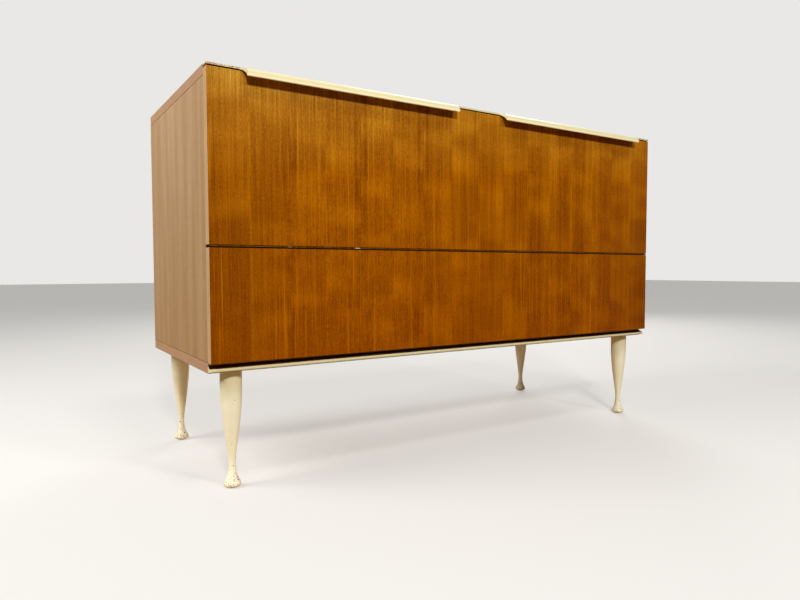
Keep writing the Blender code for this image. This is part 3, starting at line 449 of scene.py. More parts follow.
# Legs painted lighter, strip and moulding darker: painted light and shade on top of the yellowing.
fresh_and_painted_lighter = add(tree, "Mix", {0: mottle, 6: linear("#f8efca"), 7: linear("#fef8e0")}, data_type="RGBA")
aged_and_painted_darker = add(tree, "Mix", {0: mottle, 6: linear("#dccf9a"), 7: linear("#e8ddae")}, data_type="RGBA")
yellowing_and_painted_light = add(tree, "MapRange", {"Value": z, "From Min": FRESH_BELOW, "From Max": bottom_low.z})
coat = add(tree, "Mix", {0: yellowing_and_painted_light, 6: fresh_and_painted_lighter, 7: aged_and_painted_darker}, data_type="RGBA")
print("cream lacquer mixed")

# %% [markdown]
# Wear, a painted highlight and painted shadows keep to certain places. Masks drawn into an image would
# need unwrapped surfaces and a picture. A few comparisons with a height, a depth or a side find the
# same places, and where all of them hold, their product is 1.

# %% Tell the places apart
TESTS = {
    "strip": (z, "GREATER_THAN", strip_low.z - MM),
    "forward": (y, "LESS_THAN", FACE_Y - 15 * MM),
    "over_legs": (z, "GREATER_THAN", bottom_low.z),
    "right_half": (x, "GREATER_THAN", 0.0),
    "behind_face": (y, "GREATER_THAN", FACE_Y + 0.4 * MM),
    "below_lip": (z, "LESS_THAN", strip_high.z - 2.9 * MM),
    "over_nose": (z, "GREATER_THAN", bottom_low.z + 9 * MM),
    "below_floor": (z, "LESS_THAN", bottom_high.z),
    "short_of_ends": (from_middle, "LESS_THAN", HALF - 0.3 * MM),
}
PLACES = {
    "grip_nose": ("forward", "strip"),
    "moulding_right": ("over_legs", "right_half"),
    "groove": ("behind_face", "below_lip", "strip"),
    "slope": ("over_nose", "below_floor", "short_of_ends"),
}
mask = {}
for name, (at, test, limit) in TESTS.items():
    mask[name] = add(tree, "Math", {0: at, 1: limit}, operation=test)
for name, (first, *others) in PLACES.items():
    mask[name] = mask[first]
    for other in others:
        mask[name] = add(tree, "Math", {0: mask[name], 1: mask[other]}, operation="MULTIPLY")
print("places:", ", ".join(PLACES))

# %% [markdown]
# Where feet and hands knock it, the lacquer is chipped to the brown wood. The strip's plain ends and the
# moulding's right end are rubbed to a pinkish brown. Chips are noise cut off high, and a wear value
# lowers the cut near the floor and on those ends. Along the lower front of the grips' noses a paler line
# is painted instead: a painted highlight, brighter than the rest.

# %% Wear of the lacquer, and a painted highlight on the noses
FLOOR_WEAR, END_WEAR, SPECK_MM, PATCH_MM = 0.14, 0.09, 2.778, 9.09
# The next two lines make a painted highlight along the lower noses of the grips.
rubbed = {"Value": z, "From Min": strip_high.z - 12.5 * MM, "From Max": strip_high.z - 15.5 * MM}
rubbed = add(tree, "Math", {0: add(tree, "MapRange", rubbed), 1: mask["grip_nose"]}, operation="MULTIPLY")
outer = add(tree, "MapRange", {"Value": from_middle, "From Min": HALF - 75 * MM, "From Max": HALF - 50 * MM})
knocked = add(tree, "Math", {0: mask["strip"], 1: mask["moulding_right"]}, operation="MAXIMUM")
worn_end = add(tree, "Math", {0: outer, 1: knocked}, operation="MULTIPLY")
low_down = {"Value": z, "From Min": 90 * MM, "From Max": 10 * MM, "To Max": FLOOR_WEAR}
worn = {0: worn_end, 1: END_WEAR, 2: add(tree, "MapRange", low_down)}
specks = add(tree, "TexNoise", {"Vector": coordinates, "Scale": 1 / (SPECK_MM * MM), "Detail": 2.0})
level = add(tree, "Math", {0: specks, 1: add(tree, "Math", worn, operation="MULTIPLY_ADD")}, operation="ADD")
chips = add(tree, "MapRange", {"Value": level, "From Min": 0.725, "From Max": 0.755})
patches = add(tree, "TexNoise", {"Vector": coordinates, "Scale": 1 / (PATCH_MM * MM), "Detail": 3.0})
patches = add(tree, "MapRange", {"Value": patches, "From Min": 0.48, "From Max": 0.60, "To Max": 0.9})
patches = add(tree, "Math", {0: patches, 1: worn_end}, operation="MULTIPLY")
print(f"chips up to {SPECK_MM / 2:.1f} mm wide, rubbed patches up to {PATCH_MM / 2:.1f} mm")

# %% [markdown]
# Two hidden places get a painted shadow instead, in dark brown: the shadow groove below the strip's
# lip, and the slope on top of the moulding. Both lie behind the lacquered noses, in deep shadow. The
# painted shadow has no gloss, so the roughness goes up there too.

# %% Lay wear, a painted highlight and painted shadows over the lacquer
GLOSSY, DULL = 0.33, 0.95
# The first of these colours is the painted highlight on the noses; the others are wear.
WEAR = (rubbed, "#fff2c0"), (patches, "#bd9d86"), (chips, "#6e4a30")
# These two colours are painted shadows, in the groove and on the moulding's slope.
PAINTED_SHADOWS = (mask["groove"], "#5c2e0a"), (mask["slope"], "#341304")
for share, colour in WEAR + PAINTED_SHADOWS:
    coat = add(tree, "Mix", {0: share, 6: coat, 7: linear(colour)}, data_type="RGBA")
painted_shadow = add(tree, "Math", {0: mask["groove"], 1: mask["slope"]}, operation="ADD")
gloss = add(tree, "MapRange", {"Value": painted_shadow, "To Min": GLOSSY, "To Max": DULL})
tree.links.new(gloss.outputs[0], shader.inputs["Roughness"])
colour_and_dents(tree, shader, coat, chips, 0.4, 0.15, invert=True)
print("layers over the lacquer:", len(WEAR + PAINTED_SHADOWS))

# %% [markdown]
# ## Metal, plastic and plain wood
#
# The hinge is brassed steel under a dull skin of old brown varnish. Screws, stays and guides are zinc
# plated: pale, faintly cloudy, and rougher than chrome. The catch housings and foot glides are moulded
# plastic with a fine even grain. The magnets are sintered ferrite, almost black. All of these are two
# close colours in a cloudy pattern with a fine bump, so one function makes them.


# %% Metal and plastic
def clouded(name, colour, other, cloud_mm, bump, **sockets):
    """A finish of two close colours, clouded at CLOUD_MM, with a fine bump."""
    made, tree, shader = new_material(name, **sockets)
    coordinates = add(tree, "TexCoord").outputs["Object"]
    cloud = add(tree, "TexNoise", {"Vector": coordinates, "Scale": 1 / (cloud_mm * MM), "Detail": 3.0})
    cloud = add(tree, "MapRange", {"Value": cloud, "From Min": 0.35, "From Max": 0.65})
    tint = add(tree, "Mix", {0: cloud, 6: linear(colour), 7: linear(other)}, data_type="RGBA")
    colour_and_dents(tree, shader, tint, cloud, bump, 0.05)
    return made


OLD_VARNISH = {"Roughness": 0.6, "Specular_IOR_Level": 0.05}
zinc = clouded("zinc_plated_steel", "#b4b5b1", "#cfcfca", 6.0, 0.2, Metallic=1.0, Roughness=0.32)
brassed = clouded("varnished_brassed_steel", "#4a2b08", "#6c480c", 9.0, 0.2, **OLD_VARNISH)
white_plastic = clouded("moulded_white_plastic", "#dedcd4", "#e6e4dd", 2.0, 0.3, Roughness=0.48)
ferrite = clouded("sintered_ferrite", "#2a2a2c", "#3a3a3c", 1.5, 0.3, Roughness=0.62)
hardboard = clouded("oil_tempered_hardboard", "#6f4d31", "#84603f", 3.0, 0.6, Roughness=0.7)
print("metal, plastic and hardboard made")

# %% [markdown]
# At two knuckles a duster has worn the varnish through to the bare steel, which catches the light. The
# place along the seam picks them, and only the knuckle's upper half shines. The lower half of all the
# knuckles is painted darker, a painted shade below the pin, where the seam is in shadow.

# %% Worn spots of the hinge, and painted shade under its pin
tree = brassed.node_tree
shader = tree.nodes["Principled BSDF"]
x, y, z = position(tree)
SPOTS_MM = (-450, 5, 0.2), (-308, 7, 0.6)
shine = 0.0
for at_mm, reach_mm, share in SPOTS_MM:
    off = add(tree, "Math", {0: x, 1: at_mm * MM}, operation="SUBTRACT")
    off = add(tree, "Math", {0: off}, operation="ABSOLUTE")
    spot = {"Value": off, "From Min": reach_mm * MM, "From Max": 0.6 * reach_mm * MM, "To Max": share}
    shine = add(tree, "Math", {0: add(tree, "MapRange", spot), 1: shine}, operation="MAXIMUM")
upper = add(tree, "Math", {0: z, 1: SEAM_Z}, operation="GREATER_THAN")
shine = add(tree, "Math", {0: shine, 1: upper}, operation="MULTIPLY")
varnished = shader.inputs["Base Color"].links[0].from_socket
# Below the pin the knuckles get a painted shade.
varnished = add(tree, "Mix", {0: upper, 6: linear("#2c1204"), 7: varnished}, data_type="RGBA")
worn = add(tree, "Mix", {0: shine, 6: varnished, 7: linear("#d8c6a0")}, data_type="RGBA")
tree.links.new(worn.outputs[2], shader.inputs["Base Color"])
tree.links.new(shine.outputs[0], shader.inputs["Metallic"])
print("worn spots, x in mm, half length in mm and strength:", SPOTS_MM)

# %% [markdown]
# The rail and the cleat behind the lower panel are planed beech: pale, close-grained, and covered with
# short brown flecks.

# %% Planed beech
beech, tree, shader = new_material("planed_beech", Roughness=0.68, Specular_IOR_Level=0.3)
x, y, z = position(tree)
bands, streaks, pores = grain(tree, add(tree, "Math", {0: y, 1: z}), x)
wood = add(tree, "Mix", {0: streaks, 6: linear("#b98f62"), 7: linear("#d9b68c")}, data_type="RGBA")
flecks = add(tree, "MapRange", {"Value": pores, "From Min": 0.6, "From Max": 0.7, "To Max": 0.5})
wood = add(tree, "Mix", {0: flecks, 6: wood, 7: linear("#9a6a42")}, data_type="RGBA")
tree.links.new(wood.outputs[2], shader.inputs["Base Color"])
FINISHES |= {"hinge_rail": beech, "lower_cleat": beech, "back_panel": hardboard}
print("beech made")

# %% [markdown]
# ## Surfaces from numbers
#
# Each new piece below is a grid of points worked out by a formula. One function turns grids into a
# mesh: it joins neighbouring points into four-sided faces, merges the points that meet at a seam or a
# pole, fills an open end, and turns all faces outwards. Edges sharper than 32 degrees stay crisp. These
# shapes could be modelled by hand with curves and modifiers, but a formula says where each point is.


# %% Turn grids of points into a piece
def piece(name, grids, look, body, replaced=()):
    """Makes one object from grids of points, each (rows, columns, 3), that moves with a body."""
    bm = bmesh.new()
    for grid in grids:
        rows, columns = grid.shape[:2]
        index = np.arange(rows * columns).reshape(rows, columns)
        corners = (index[:-1, :-1], index[:-1, 1:], index[1:, 1:], index[1:, :-1])
        quads = np.stack(corners, axis=-1).reshape(-1, 4)
        mesh = bpy.data.meshes.new(name)
        mesh.from_pydata(grid.reshape(-1, 3).tolist(), [], quads.tolist())
        bm.from_mesh(mesh)
        bpy.data.meshes.remove(mesh)
    bmesh.ops.remove_doubles(bm, verts=bm.verts, dist=0.002 * MM)
    bmesh.ops.holes_fill(bm, edges=[edge for edge in bm.edges if edge.is_boundary])
    bmesh.ops.recalc_face_normals(bm, faces=bm.faces)
    mesh = bpy.data.meshes.new(name)
    bm.to_mesh(mesh)
    bm.free()
    mesh.materials.append(look)
    mesh.shade_smooth()
    mesh.set_sharp_from_angle(angle=np.radians(32))
    made = bpy.data.objects.new(name, mesh)
    bpy.context.scene.collection.objects.link(made)
    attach(made, body)
    if replaced:
        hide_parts(*replaced)
    print(f"{name}: {len(mesh.polygons)} faces")
    return made


# %% [markdown]
# Two kinds of formula come back again and again. A curve is a cubic with two handles, which leaves its
# start and meets its end in chosen directions. A turned shape is a profile carried once round Z.


# %% Curves and turned shapes
def curve(start, start_handle, end_handle, end, steps):
    """Points of a cubic: its four corners weighed by the terms of (t + (1 - t)) cubed."""
    t = np.linspace(0, 1, steps + 1)[:, None]
    corners = np.array([start, start_handle, end_handle, end], float)
    weights = np.hstack([(1 - t) ** 3, 3 * t * (1 - t) ** 2, 3 * t**2 * (1 - t), t**3])
    return weights @ corners


def turned(profile, middle=(0, 0), sides=64):
    """A profile of (radius, height) rows carried once round an upright axis at MIDDLE."""
    angle = np.linspace(0, 2 * np.pi, sides + 1)
    radius, height = np.array(profile, float).T
    grid = np.empty((len(radius), sides + 1, 3))
    grid[..., 0] = middle[0] + radius[:, None] * np.cos(angle)
    grid[..., 1] = middle[1] + radius[:, None] * np.sin(angle)
    grid[..., 2] = height[:, None]
    return grid


def middle_of(node):
    """The middle of a node's box, from above."""
    low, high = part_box(node)
    return (low.x + high.x) / 2, (low.y + high.y) / 2


print("a quarter turn:", curve((0, 0), (0.55, 0), (1, 0.45), (1, 1), 2).round(2).tolist())

# %% [markdown]
# ## Legs
#
# Each leg is one turned piece: widest just under the case, drawn in to a neck as thin as a finger, and
# flared again into a small round foot. A lathe makes it, so it is a profile turned round an axis, and
# the profile is three curves that meet without a corner. A plastic glide is pressed into each sole.

# %% Turn the legs and their glides
CORNERS = ("front_left", "front_right", "back_left", "back_right")
TOP_R, BELLY_R, NECK_R, FOOT_R, SOLE_R = (radius * MM for radius in (19.9, 20.3, 6.2, 16.0, 12.5))
NECK_Z, FOOT_Z, BELLY_DROP, SOLE_ROUND = 46 * MM, 7.5 * MM, 22 * MM, 2.2 * MM
FLARE_IN, FLARE_UP, NECK_DOWN, NECK_UP, BELLY_DOWN = (pull * MM for pull in (1.2, 6, 26, 24, 72))
GLIDE_EDGE = np.array([(7.2, 0), (8.4, 0), (9, 0.5), (9, 1.4)]) * MM


def leg_profile(bottom, top):
    """From the middle of the sole up the outside, over foot, neck and belly, to the middle of the top."""
    foot, neck, belly = (FOOT_R, FOOT_Z), (NECK_R, NECK_Z), (BELLY_R, top - BELLY_DROP)
    sole = curve((SOLE_R, bottom), (SOLE_R + SOLE_ROUND, bottom), (FOOT_R, bottom + SOLE_ROUND), foot, 8)
    flare = curve(foot, (FOOT_R - FLARE_IN, FOOT_Z + FLARE_UP), (NECK_R, NECK_Z - NECK_DOWN), neck, 24)
    swell = curve(neck, (NECK_R, NECK_Z + NECK_UP), (BELLY_R, belly[1] - BELLY_DOWN), belly, 36)
    return np.vstack([[(0, bottom)], sole, flare[1:], swell[1:], [(TOP_R, top), (0, top)]])


def glide_profile(top):
    """A flat disc with a rounded edge, from the middle of its underside to the middle of its top."""
    return np.vstack([[(0, 0)], curve(*GLIDE_EDGE, 8), [(GLIDE_EDGE[-1, 0], top), (0, top)]])


for where in CORNERS:
    leg, glide = "leg_" + where, "foot_glide_" + where
    low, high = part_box(leg)
    grid = turned(leg_profile(low.z, high.z), middle_of(leg), 80)
    piece("turned_" + leg, [grid], lacquer, "cabinet", [leg])
    grid = turned(glide_profile(low.z), middle_of(glide), 48)
    piece("pressed_" + glide, [grid], white_plastic, "cabinet", [glide])

# %% [markdown]
# ## Handle strip
#
# The strip on the flap's top edge is moulded in one length with a hooked nose: it rounds over from the
# top into a nearly upright front. Then the nose is cut away beside the two grips. The round cutter
# stands upright and leaves a hollow corner of its own radius at each end of a grip. Below the plain
# stretches a shadow groove stays open.
#
# A Boolean cut of a swept strip would leave long thin faces at the cuts, which shade badly. So the
# surface is the section, cut off at a distance from the face that depends on X. One parameter runs
# round the section and one along the strip.


# %% Cut a moulded section back
def cut_back(x, reach, top, foot, rear):
    """Rings of a section cut off upright at REACH, one for each X, as a grid of points.

    TOP and FOOT are rows of (forward, up) from the rear to the nose. A ring runs along TOP to the cut,
    down it and back along FOOT, its points crowded at the nose. REAR closes the ring behind.
    """
    share = np.sin(np.linspace(0, np.pi / 2, 26))
    halves = []
    for line in (top, foot):
        forward = line[0, 0] + (reach[:, None] - line[0, 0]) * share
        halves.append(np.stack([forward, np.interp(forward, line[:, 0], line[:, 1])], axis=-1))
    rear = np.broadcast_to(rear, (len(x), len(rear), 2))
    ring = np.concatenate([halves[0], halves[1][:, ::-1], rear, halves[0][:, :1]], axis=1)
    side = np.broadcast_to(x[:, None], ring.shape[:2])
    return np.stack([side, -ring[..., 0], ring[..., 1]], axis=-1)


print("sections are cut back by one function")

# %% Section of the strip
REACH, DROP, NOSE, STRIP, LIP, GROOVE = (size * MM for size in (21, 19.4, 3.6, 6, 3, 3))
OVERLAP, LEAN, UPRIGHT, SAG, ROOF = (pull * MM for pull in (0.6, 0.4, 12.4, 0.6, 7))
SHOULDER, HOLLOW = (9.5 * MM, -3.2 * MM), (-4.3 * MM, 4.9 * MM)
nose = (REACH, NOSE / 2 - DROP)
behind = (REACH - 0.75 * NOSE, NOSE / 8 - DROP)
top = curve((-OVERLAP, 0), SHOULDER, (REACH - LEAN, nose[1] + UPRIGHT), nose, 48)
tip = curve(nose, (REACH, nose[1] - 0.28 * NOSE), (REACH - 0.3 * NOSE, -DROP - 0.04 * NOSE), behind, 16)
up_behind = (behind[0] + HOLLOW[0], behind[1] + HOLLOW[1])
hollow = curve(behind, up_behind, (ROOF - GROOVE, -LIP - SAG), (-GROOVE, -LIP), 48)
foot = np.vstack([tip, hollow[1:]])[::-1]
depth = strip_high.y - FACE_Y
rear = np.array([(-GROOVE, -STRIP), (-depth, -STRIP), (-depth, 0)])
print(f"the hood reaches {top[:, 0].max() / MM:.1f} mm forward")

# %% Carry it along the flap
FILLET, GRIP_END, GRIP_MIDDLE = 14.5 * MM, 52.5 * MM, 108 * MM
angle = np.linspace(0, np.pi / 2, 25)
along, cut = FILLET * np.sin(angle), FILLET * (1 - np.cos(angle))
inner, outer = GRIP_MIDDLE / 2, HALF - GRIP_END
x = np.concatenate([inner + along, [inner + FILLET, outer - FILLET], outer - along[::-1], [HALF]])
reach = np.concatenate([cut, [REACH, REACH], cut[::-1], [0]])
x, reach = np.concatenate([-x[::-1], x]), np.concatenate([reach[::-1], reach])
grid = cut_back(x, reach, top, foot, rear) + [0, FACE_Y, strip_high.z]
piece("lacquered_handle_strip", [grid], lacquer, "flap", ["flap_handle_strip"])

# %% [markdown]
# ## Moulding
#
# A thin lath runs along the bottom board's front, 5 mm behind the face above it and clear of it, so a
# black gap shows between the two. Its top slopes down from the board and carries a painted shadow, its
# underside rises towards the rounded nose, and its two front corners are rounded off. It could be an
# extruded section with bevelled ends, but it is the same kind of shape as the strip: a section cut
# back, here by a quarter circle at each end.

# %% Carry the moulding along the front
low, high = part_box("bottom_moulding")
CORNER, ROUND, NOSE_FACE, UNDERCUT = 4 * MM, 1.2 * MM, 4.8 * MM, 0.4 * MM
SLOPE_HEAD, SLOPE_FOOT = 5.4 * MM, 0.6 * MM
full, nose_head = high.y - low.y, high.z - low.z
nose_foot = nose_head - NOSE_FACE
middle = (nose_foot + nose_head) / 2
over = curve((full - 2 * ROUND, nose_head), (full - ROUND, nose_head), (full, nose_head), (full, middle), 16)
rise = (full - 2 * ROUND, nose_foot - UNDERCUT)
under = curve(rise, (full - ROUND, nose_foot), (full, nose_foot), (full, middle), 16)
top = np.vstack([[(0, nose_head + SLOPE_HEAD), (full - 3 * ROUND, nose_head + SLOPE_FOOT)], over])
foot = np.vstack([[(0, 0)], under])
x = HALF - CORNER + CORNER * np.sin(angle)
reach = full - CORNER * (1 - np.cos(angle))
x, reach = np.concatenate([-x[::-1], x]), np.concatenate([reach[::-1], reach])
grid = cut_back(x, reach, top, foot, np.array([(0, 0)])) + [0, high.y, low.z]
piece("lacquered_moulding", [grid], lacquer, "cabinet", ["bottom_moulding"])

# %% [markdown]
# ## Piano hinge
#
# The seam hides a piano hinge as long as the flap. Each leaf is a thin sheet whose edge is cut into
# tongues and rolled round the pin, so the knuckles of one leaf sit between those of the other. A
# knuckle is an open ring in section: most of a circle outside and a smaller one inside, carried along X.
# A tube would be quicker, but it wouldn't show the open side where the sheet has come round.


# %% Roll the knuckles
KNUCKLES, ROLL_TURN = 39, np.radians(295)
RING, PIN, THICKNESS, PIN_PLAY, PLAY = (size * MM for size in (4.4, 2.0, 0.8, 0.15, 0.5))
ROOT, TONGUE_END, LEAF_EDGE = 0.9 * MM - RING / 4, 2.8 * MM, 14.5 * MM
AXIS_Y, AXIS_Z = (sum(corner[axis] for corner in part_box("hinge_pin")) / 2 for axis in (1, 2))
pin_low, pin_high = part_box("hinge_pin")
PITCH = (pin_high.x - pin_low.x) / KNUCKLES


def bar(outline, low, high):
    """A closed outline of (y, z) rows from the pin's axis, carried from one X to another."""
    outline = np.vstack([outline, outline[:1]])
    grid = np.empty((2, len(outline), 3))
    grid[..., 0] = np.array([low, high])[:, None]
    grid[..., 1:] = outline + [AXIS_Y, AXIS_Z]
    return grid


def strip_between(near, far, heights):
    """Outline of a flat strip between two depths and two heights."""
    return np.array([(near, heights[0]), (far, heights[0]), (far, heights[1]), (near, heights[1])])


def leaf(up, first):
    """Grids of one leaf; UP is 1 or -1, and FIRST is the number of its first knuckle."""
    angle = np.linspace(0, ROLL_TURN, 49)
    circle = np.stack([-np.sin(angle), np.cos(angle)], axis=-1)
    ring = np.vstack([RING / 2 * circle, (PIN / 2 + PIN_PLAY) * circle[::-1]]) * [1, up]
    heights = up * (RING / 2 - THICKNESS), up * RING / 2
    tongue = strip_between(ROOT, TONGUE_END, heights)
    sheet = strip_between(TONGUE_END, LEAF_EDGE, heights)
    grids = [bar(sheet, pin_low.x, pin_high.x)]
    for place in range(first, KNUCKLES, 2):
        low = pin_low.x + place * PITCH + PLAY / 2 * (place > 0)
        high = pin_low.x + (place + 1) * PITCH - PLAY / 2 * (place < KNUCKLES - 1)
        grids += [bar(ring, low, high), bar(tongue, low, high)]
    return grids


piece("rolled_hinge_leaf_lower", leaf(-1, 0), brassed, "cabinet", ["hinge_leaf_lower"])
piece("rolled_hinge_leaf_flap", leaf(1, 1), brassed, "flap", ["hinge_leaf_flap"])
FINISHES["hinge_pin"] = brassed

# %% [markdown]
# ## Quadrant stays
#
# A stay holds the open flap level. It is a flat steel bar, bent edgeways to an arc round the hinge's
# pin, with a foot plate on the flap's inner face. It slides through a guide on the side panel until its
# widened end stops there. So it is a section with rounded edges, carried along the arc.


# %% Bend the stays
def rounded(half_u, half_v, radius):
    """Outline of a rectangle with round corners: each corner moved in, plus a quarter circle about it."""
    quarter = np.repeat(np.arange(4), 5)
    turn = (np.tile(np.linspace(0, 1, 5), 4) + quarter) * np.pi / 2
    corner = (quarter + 0.5) * np.pi / 2
    u = np.sign(np.cos(corner)) * (half_u - radius) + radius * np.cos(turn)
    v = np.sign(np.sin(corner)) * (half_v - radius) + radius * np.sin(turn)
    outline = np.stack(np.broadcast_arrays(u, v), axis=-1)
    return np.concatenate([outline, outline[..., :1, :]], axis=-2)


def bent_bar(turn, half, middle):
    """A bar round the pin: a point of its section at u from the arc is (ARC + u) (sin, cos) of the turn."""
    section = rounded(half[:, None], STAY_THICKNESS / 2, STAY_ROUND)
    radius = ARC + section[..., 0]
    y, z = radius * np.sin(turn)[:, None], radius * np.cos(turn)[:, None]
    return np.stack([middle + section[..., 1], AXIS_Y + y, AXIS_Z + z], axis=-1)


ARC, STAY_WIDTH, STAY_THICKNESS, NIB, STAY_ROUND = (size * MM for size in (255, 12, 2.5, 4, 0.4))
START, STOP, END = np.radians([4.13, 107.94, 110.19])
PLATE_Y, PLATE_Z = AXIS_Y + np.array([17.1, 19.6]) * MM, AXIS_Z + 254.43 * MM
PLATE_HALF, PLATE_ROUND, STEPS = 22 * MM, 2 * MM, 97
turn = np.concatenate([np.linspace(START, STOP, STEPS), [STOP, END]])
half = np.repeat([STAY_WIDTH / 2, STAY_WIDTH / 2 + NIB], [STEPS, 2])
for side, hand in (("left", -1), ("right", 1)):
    node = "quadrant_stay_" + side
    low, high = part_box(node)
    bar_middle = max(abs(low.x), abs(high.x)) - STAY_THICKNESS / 2
    plate = rounded((high.x - low.x) / 2, PLATE_HALF, PLATE_ROUND) + [(low.x + high.x) / 2, PLATE_Z]
    plate = np.insert(np.stack([plate, plate]), 1, PLATE_Y[:, None], axis=-1)
    grids = [bent_bar(turn, half, hand * bar_middle), plate]
    piece("bent_" + node, grids, zinc, "flap", [node])

# %% [markdown]
# ## Leg bolts and nuts
#
# Each leg is held by a steel bolt whose upper end meets a flanged nut in the floor of the case. Both are
# turned parts with broken edges, so they are profiles carried round the leg's axis.

# %% Turn the bolts and nuts
BREAK, THREAD_PLAY, BARREL_R, FLANGE = 0.4 * MM, 0.3 * MM, 5.5 * MM, 1.5 * MM
for where in CORNERS:
    bolt, nut = "leg_bolt_" + where, "leg_nut_" + where
    low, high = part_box(bolt)
    radius = (high.x - low.x) / 2
    profile = [(0, low.z), (radius - BREAK, low.z), (radius, low.z + BREAK), (radius, high.z - BREAK)]
    profile += [(radius - BREAK, high.z), (0, high.z)]
    piece("turned_" + bolt, [turned(profile, middle_of(bolt), 48)], zinc, "cabinet", [bolt])
    low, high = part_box(nut)
    hole, flange, foot = radius + THREAD_PLAY, (high.x - low.x) / 2, high.z - FLANGE
    profile = [(hole, low.z), (BARREL_R, low.z), (BARREL_R, foot), (flange, foot), (flange, high.z - BREAK)]
    profile += [(flange - BREAK, high.z), (hole + BREAK, high.z), (hole, high.z - BREAK), (hole, low.z)]
    piece("turned_" + nut, [turned(profile, middle_of(nut), 48)], zinc, "cabinet", [nut])

# %% [markdown]
# ## Nails of the back panel
#
# The hardboard back lies in a rebate and is nailed all round, every hand's width. A nail is a domed head
# on a thin shank. It is turned like the legs and then laid down, by swapping its Y and Z.

# %% Nail the back panel
FROM_SIDE, FROM_END, EDGE = 40 * MM, 130 * MM, 5 * MM
SHANK = np.array([(0, -9), (0.7, -7), (0.7, -0.2), (2.3, -0.2)]) * MM
DOME = np.array([(2.3, 0.2), (1.9, 0.7), (0.9, 0.9), (0, 0.9)]) * MM
across = np.linspace(back_low.x + FROM_SIDE, back_high.x - FROM_SIDE, 9)
upright = np.linspace(back_low.z + FROM_END, back_high.z - FROM_END, 3)
nailed = [(x, z) for x in across for z in (back_low.z + EDGE, back_high.z - EDGE)]
nailed += [(x, z) for x in (back_low.x + EDGE, back_high.x - EDGE) for z in upright]
nail = turned(np.vstack([SHANK, curve(*DOME, 4)]), sides=12)[..., [0, 2, 1]]
piece("back_panel_nails", [nail + [x, back_high.y, z] for x, z in nailed], zinc, "cabinet")
print("nails:", len(nailed))

# %% [markdown]
# ## Screws
#
# Every screw has a countersunk head with a cross recess. The head is a disc in polar coordinates: its
# height is a function of radius and angle, with the cross pressed in where the point lies close to one
# of two crossed lines. Below the head the surface runs in to the tip.


# %% A screw as a function of radius and angle
# shares of the head's radius
CROSS_HALF, CROSS_WALL, CROSS_REACH, CROSS_DEPTH, DOMED, NECK, WAIST = 0.16, 0.05, 0.68, 0.45, 0.02, 0.8, 0.45


def screw(at, out, head, length):
    """A screw whose head of radius HEAD lies at AT and faces OUT."""
    angle = np.linspace(0, 2 * np.pi, 49)
    radius = np.concatenate([np.linspace(0, 0.7, 9), [0.85, 0.96, 1.0, WAIST, 0.0]]) * head
    r, a = np.meshgrid(radius, angle, indexing="ij")
    u, v = r * np.cos(a), r * np.sin(a)
    nearest = np.minimum(np.abs(u), np.abs(v))
    cross = np.clip((CROSS_HALF * head - nearest) / (CROSS_WALL * head), 0, 1) * (r < CROSS_REACH * head)
    height = -CROSS_DEPTH * head * cross - DOMED * head * (r / head) ** 2
    height[-2], height[-1] = -NECK * head, -length
    out = np.array(out, float)
    side = np.cross(out, (0.0, 0.0, 1.0) if abs(out[2]) < 0.9 else (1.0, 0.0, 0.0))
    frame_of_head = np.stack([side, np.cross(out, side), out])
    return np.array(at) + np.stack([u, v, height], axis=-1) @ frame_of_head


def head_of(node):
    """A screw node's head: its middle, the way it faces, its radius, and the screw's length."""
    points = np.array([vertex.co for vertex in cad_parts[node].data.vertices])
    low, high = points.min(axis=0), points.max(axis=0)
    middle, size = (low + high) / 2, high - low
    axis = int(np.argmax(size))
    radius = np.delete(size, axis).max() / 2
    across = np.delete(points - middle, axis, axis=1)
    widest = points[np.linalg.norm(across, axis=1) > 0.9 * radius]
    out = np.zeros(3)
    out[axis] = np.sign(widest[:, axis].mean() - middle[axis])
    middle[axis] = (high if out[axis] > 0 else low)[axis]
    return middle, out, radius, size[axis]


for node in sorted(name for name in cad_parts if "screw" in name):
    body = "flap" if node.startswith(("stay_screw", "strike_screw")) else "cabinet"
    piece("cross_" + node, [screw(*head_of(node))], zinc, body, [node])

# %% [markdown]
# ## Finishes of the solids that stay
#
# Boards, panels, rail, cleat, pin, guides, strike plates, catches and magnets already have the right
# shape in the CAD model. They keep it, and only take a finish.

# %% Give the solids their finishes
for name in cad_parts:
    if name.startswith("catch_housing"):
        FINISHES[name] = white_plastic
    elif name.startswith("catch_magnet"):
        FINISHES[name] = ferrite
    elif name.startswith(("stay_guide_l", "stay_guide_r", "strike_plate")):
        FINISHES[name] = zinc
for name, look in FINISHES.items():
    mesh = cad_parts[name].data
    mesh.materials.clear()
    mesh.materials.append(look)
print("solids with a new finish:", len(FINISHES))

# %% [markdown]
# ## Floor and light
#
# The floor is plain and pale, and so is the world behind it. Seen by the camera or in a reflection both
# are near white. The light that they throw back on the chest is another matter. From the world it is
# dark grey. From the floor it is warm close to the chest, where it lights the legs, and weak further
# away, so that the shadows under the grips stay deep.


# %% A colour that is pale only to the eye
def pale_to_the_eye(tree, thrown, seen):
    """SEEN for camera, glossy and transmission rays, and THROWN for light that is thrown back."""
    rays = add(tree, "LightPath").outputs
    direct = add(tree, "Math", {0: rays["Is Camera Ray"], 1: rays["Is Glossy Ray"]}, operation="MAXIMUM")
    direct = add(tree, "Math", {0: direct, 1: rays["Is Transmission Ray"]}, operation="MAXIMUM")
    return add(tree, "Mix", {0: direct, 6: thrown, 7: seen}, data_type="RGBA").outputs[2]


print("function: pale_to_the_eye")

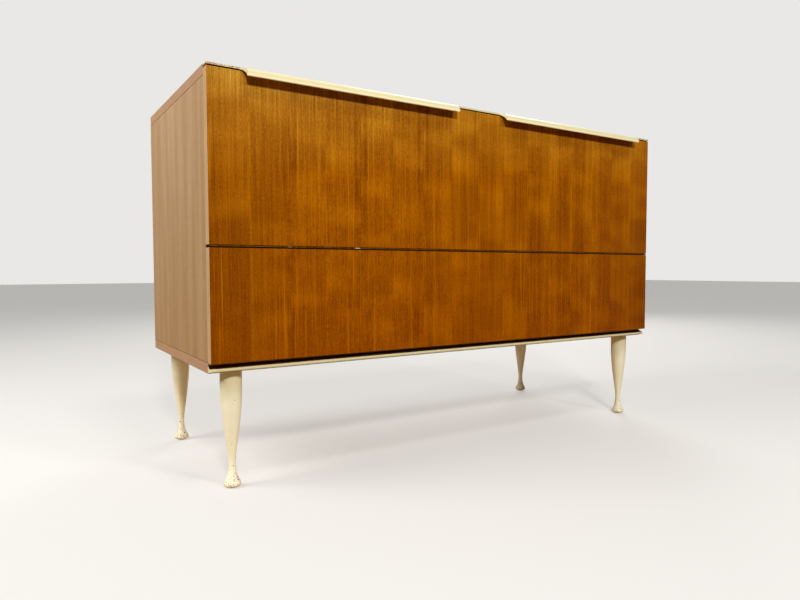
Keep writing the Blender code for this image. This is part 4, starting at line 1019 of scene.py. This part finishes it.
# %% Floor
SPREAD, WARM_WITHIN, COLD_BEYOND = 20.0, 0.1, 0.6
floor = bpy.data.objects.new("floor", bpy.data.meshes.new("floor"))
corners = [(-SPREAD, -SPREAD, 0), (SPREAD, -SPREAD, 0), (SPREAD, SPREAD, 0), (-SPREAD, SPREAD, 0)]
floor.data.from_pydata(corners, [], [(0, 1, 2, 3)])
bpy.context.scene.collection.objects.link(floor)
pale_floor, tree, shader = new_material("plain_pale_floor", Roughness=0.8, Specular_IOR_Level=0.1)
beside = add(tree, "VectorMath", {0: add(tree, "TexCoord").outputs["Object"]}, operation="ABSOLUTE")
beside = add(tree, "VectorMath", {0: beside, 1: CAD_BOX[1]}, operation="SUBTRACT")
beside = add(tree, "VectorMath", {0: beside, 1: (0, 0, 0)}, operation="MAXIMUM")
beside = add(tree, "VectorMath", {0: beside}, operation="LENGTH").outputs["Value"]
close = add(tree, "MapRange", {"Value": beside, "From Min": COLD_BEYOND, "From Max": WARM_WITHIN})
thrown = add(tree, "Mix", {0: close, 6: linear("#3c2a1c"), 7: linear("#ccb087")}, data_type="RGBA")
tree.links.new(pale_to_the_eye(tree, thrown, linear("#b0aeaa")), shader.inputs["Base Color"])
glow = pale_to_the_eye(tree, linear("#000000"), linear("#a8a6a3"))
tree.links.new(glow, shader.inputs["Emission Color"])
shader.inputs["Emission Strength"].default_value = 1.0
floor.data.materials.append(pale_floor)
print(f"floor {2 * SPREAD:.0f} m wide")

# %% World
world = bpy.data.worlds.new("pale_world")
bpy.context.scene.world = world
world.use_nodes = True
tree = world.node_tree
backdrop = pale_to_the_eye(tree, linear("#484848"), linear("#e9e8e6"))
tree.links.new(backdrop, tree.nodes["Background"].inputs["Color"])
print("world ready")

# %% [markdown]
# Two soft lamps stand in front, left and right of the middle, and cast the double shadow below the
# grips. A weak one hangs above them. A wide one lights the left side, and another lights the back and
# the right side, which the photograph doesn't show. One sun lamp would give a single hard shadow.


# %% Lamps
def soft_lamp(name, at, towards, size, watts):
    """A square area lamp at AT that faces TOWARDS."""
    lamp = bpy.data.objects.new(name, bpy.data.lights.new(name, "AREA"))
    bpy.context.scene.collection.objects.link(lamp)
    lamp.data.size = size
    lamp.data.energy = watts
    facing = (Vector(at) - Vector(towards)).to_track_quat("Z", "Y").to_matrix().to_4x4()
    lamp.matrix_world = Matrix.Translation(at) @ facing
    return lamp


soft_lamp("front_left_lamp", (-1.35, -3.22, 2.24), (0, FACE_Y, 0.6), 0.35, 69)
soft_lamp("front_right_lamp", (0.85, -3.22, 2.24), (0, FACE_Y, 0.6), 0.35, 28)
soft_lamp("high_lamp", (-0.3, -1.67, 3.15), (0, FACE_Y, 0.5), 0.5, 25)
soft_lamp("left_side_lamp", (-2.5, 0.4, 2.2), (-HALF, 0, 0.5), 1.4, 67)
soft_lamp("back_lamp", (2.4, 2.6, 2.2), (0.3, 0.2, 0.5), 1.8, 75)
print("five lamps")
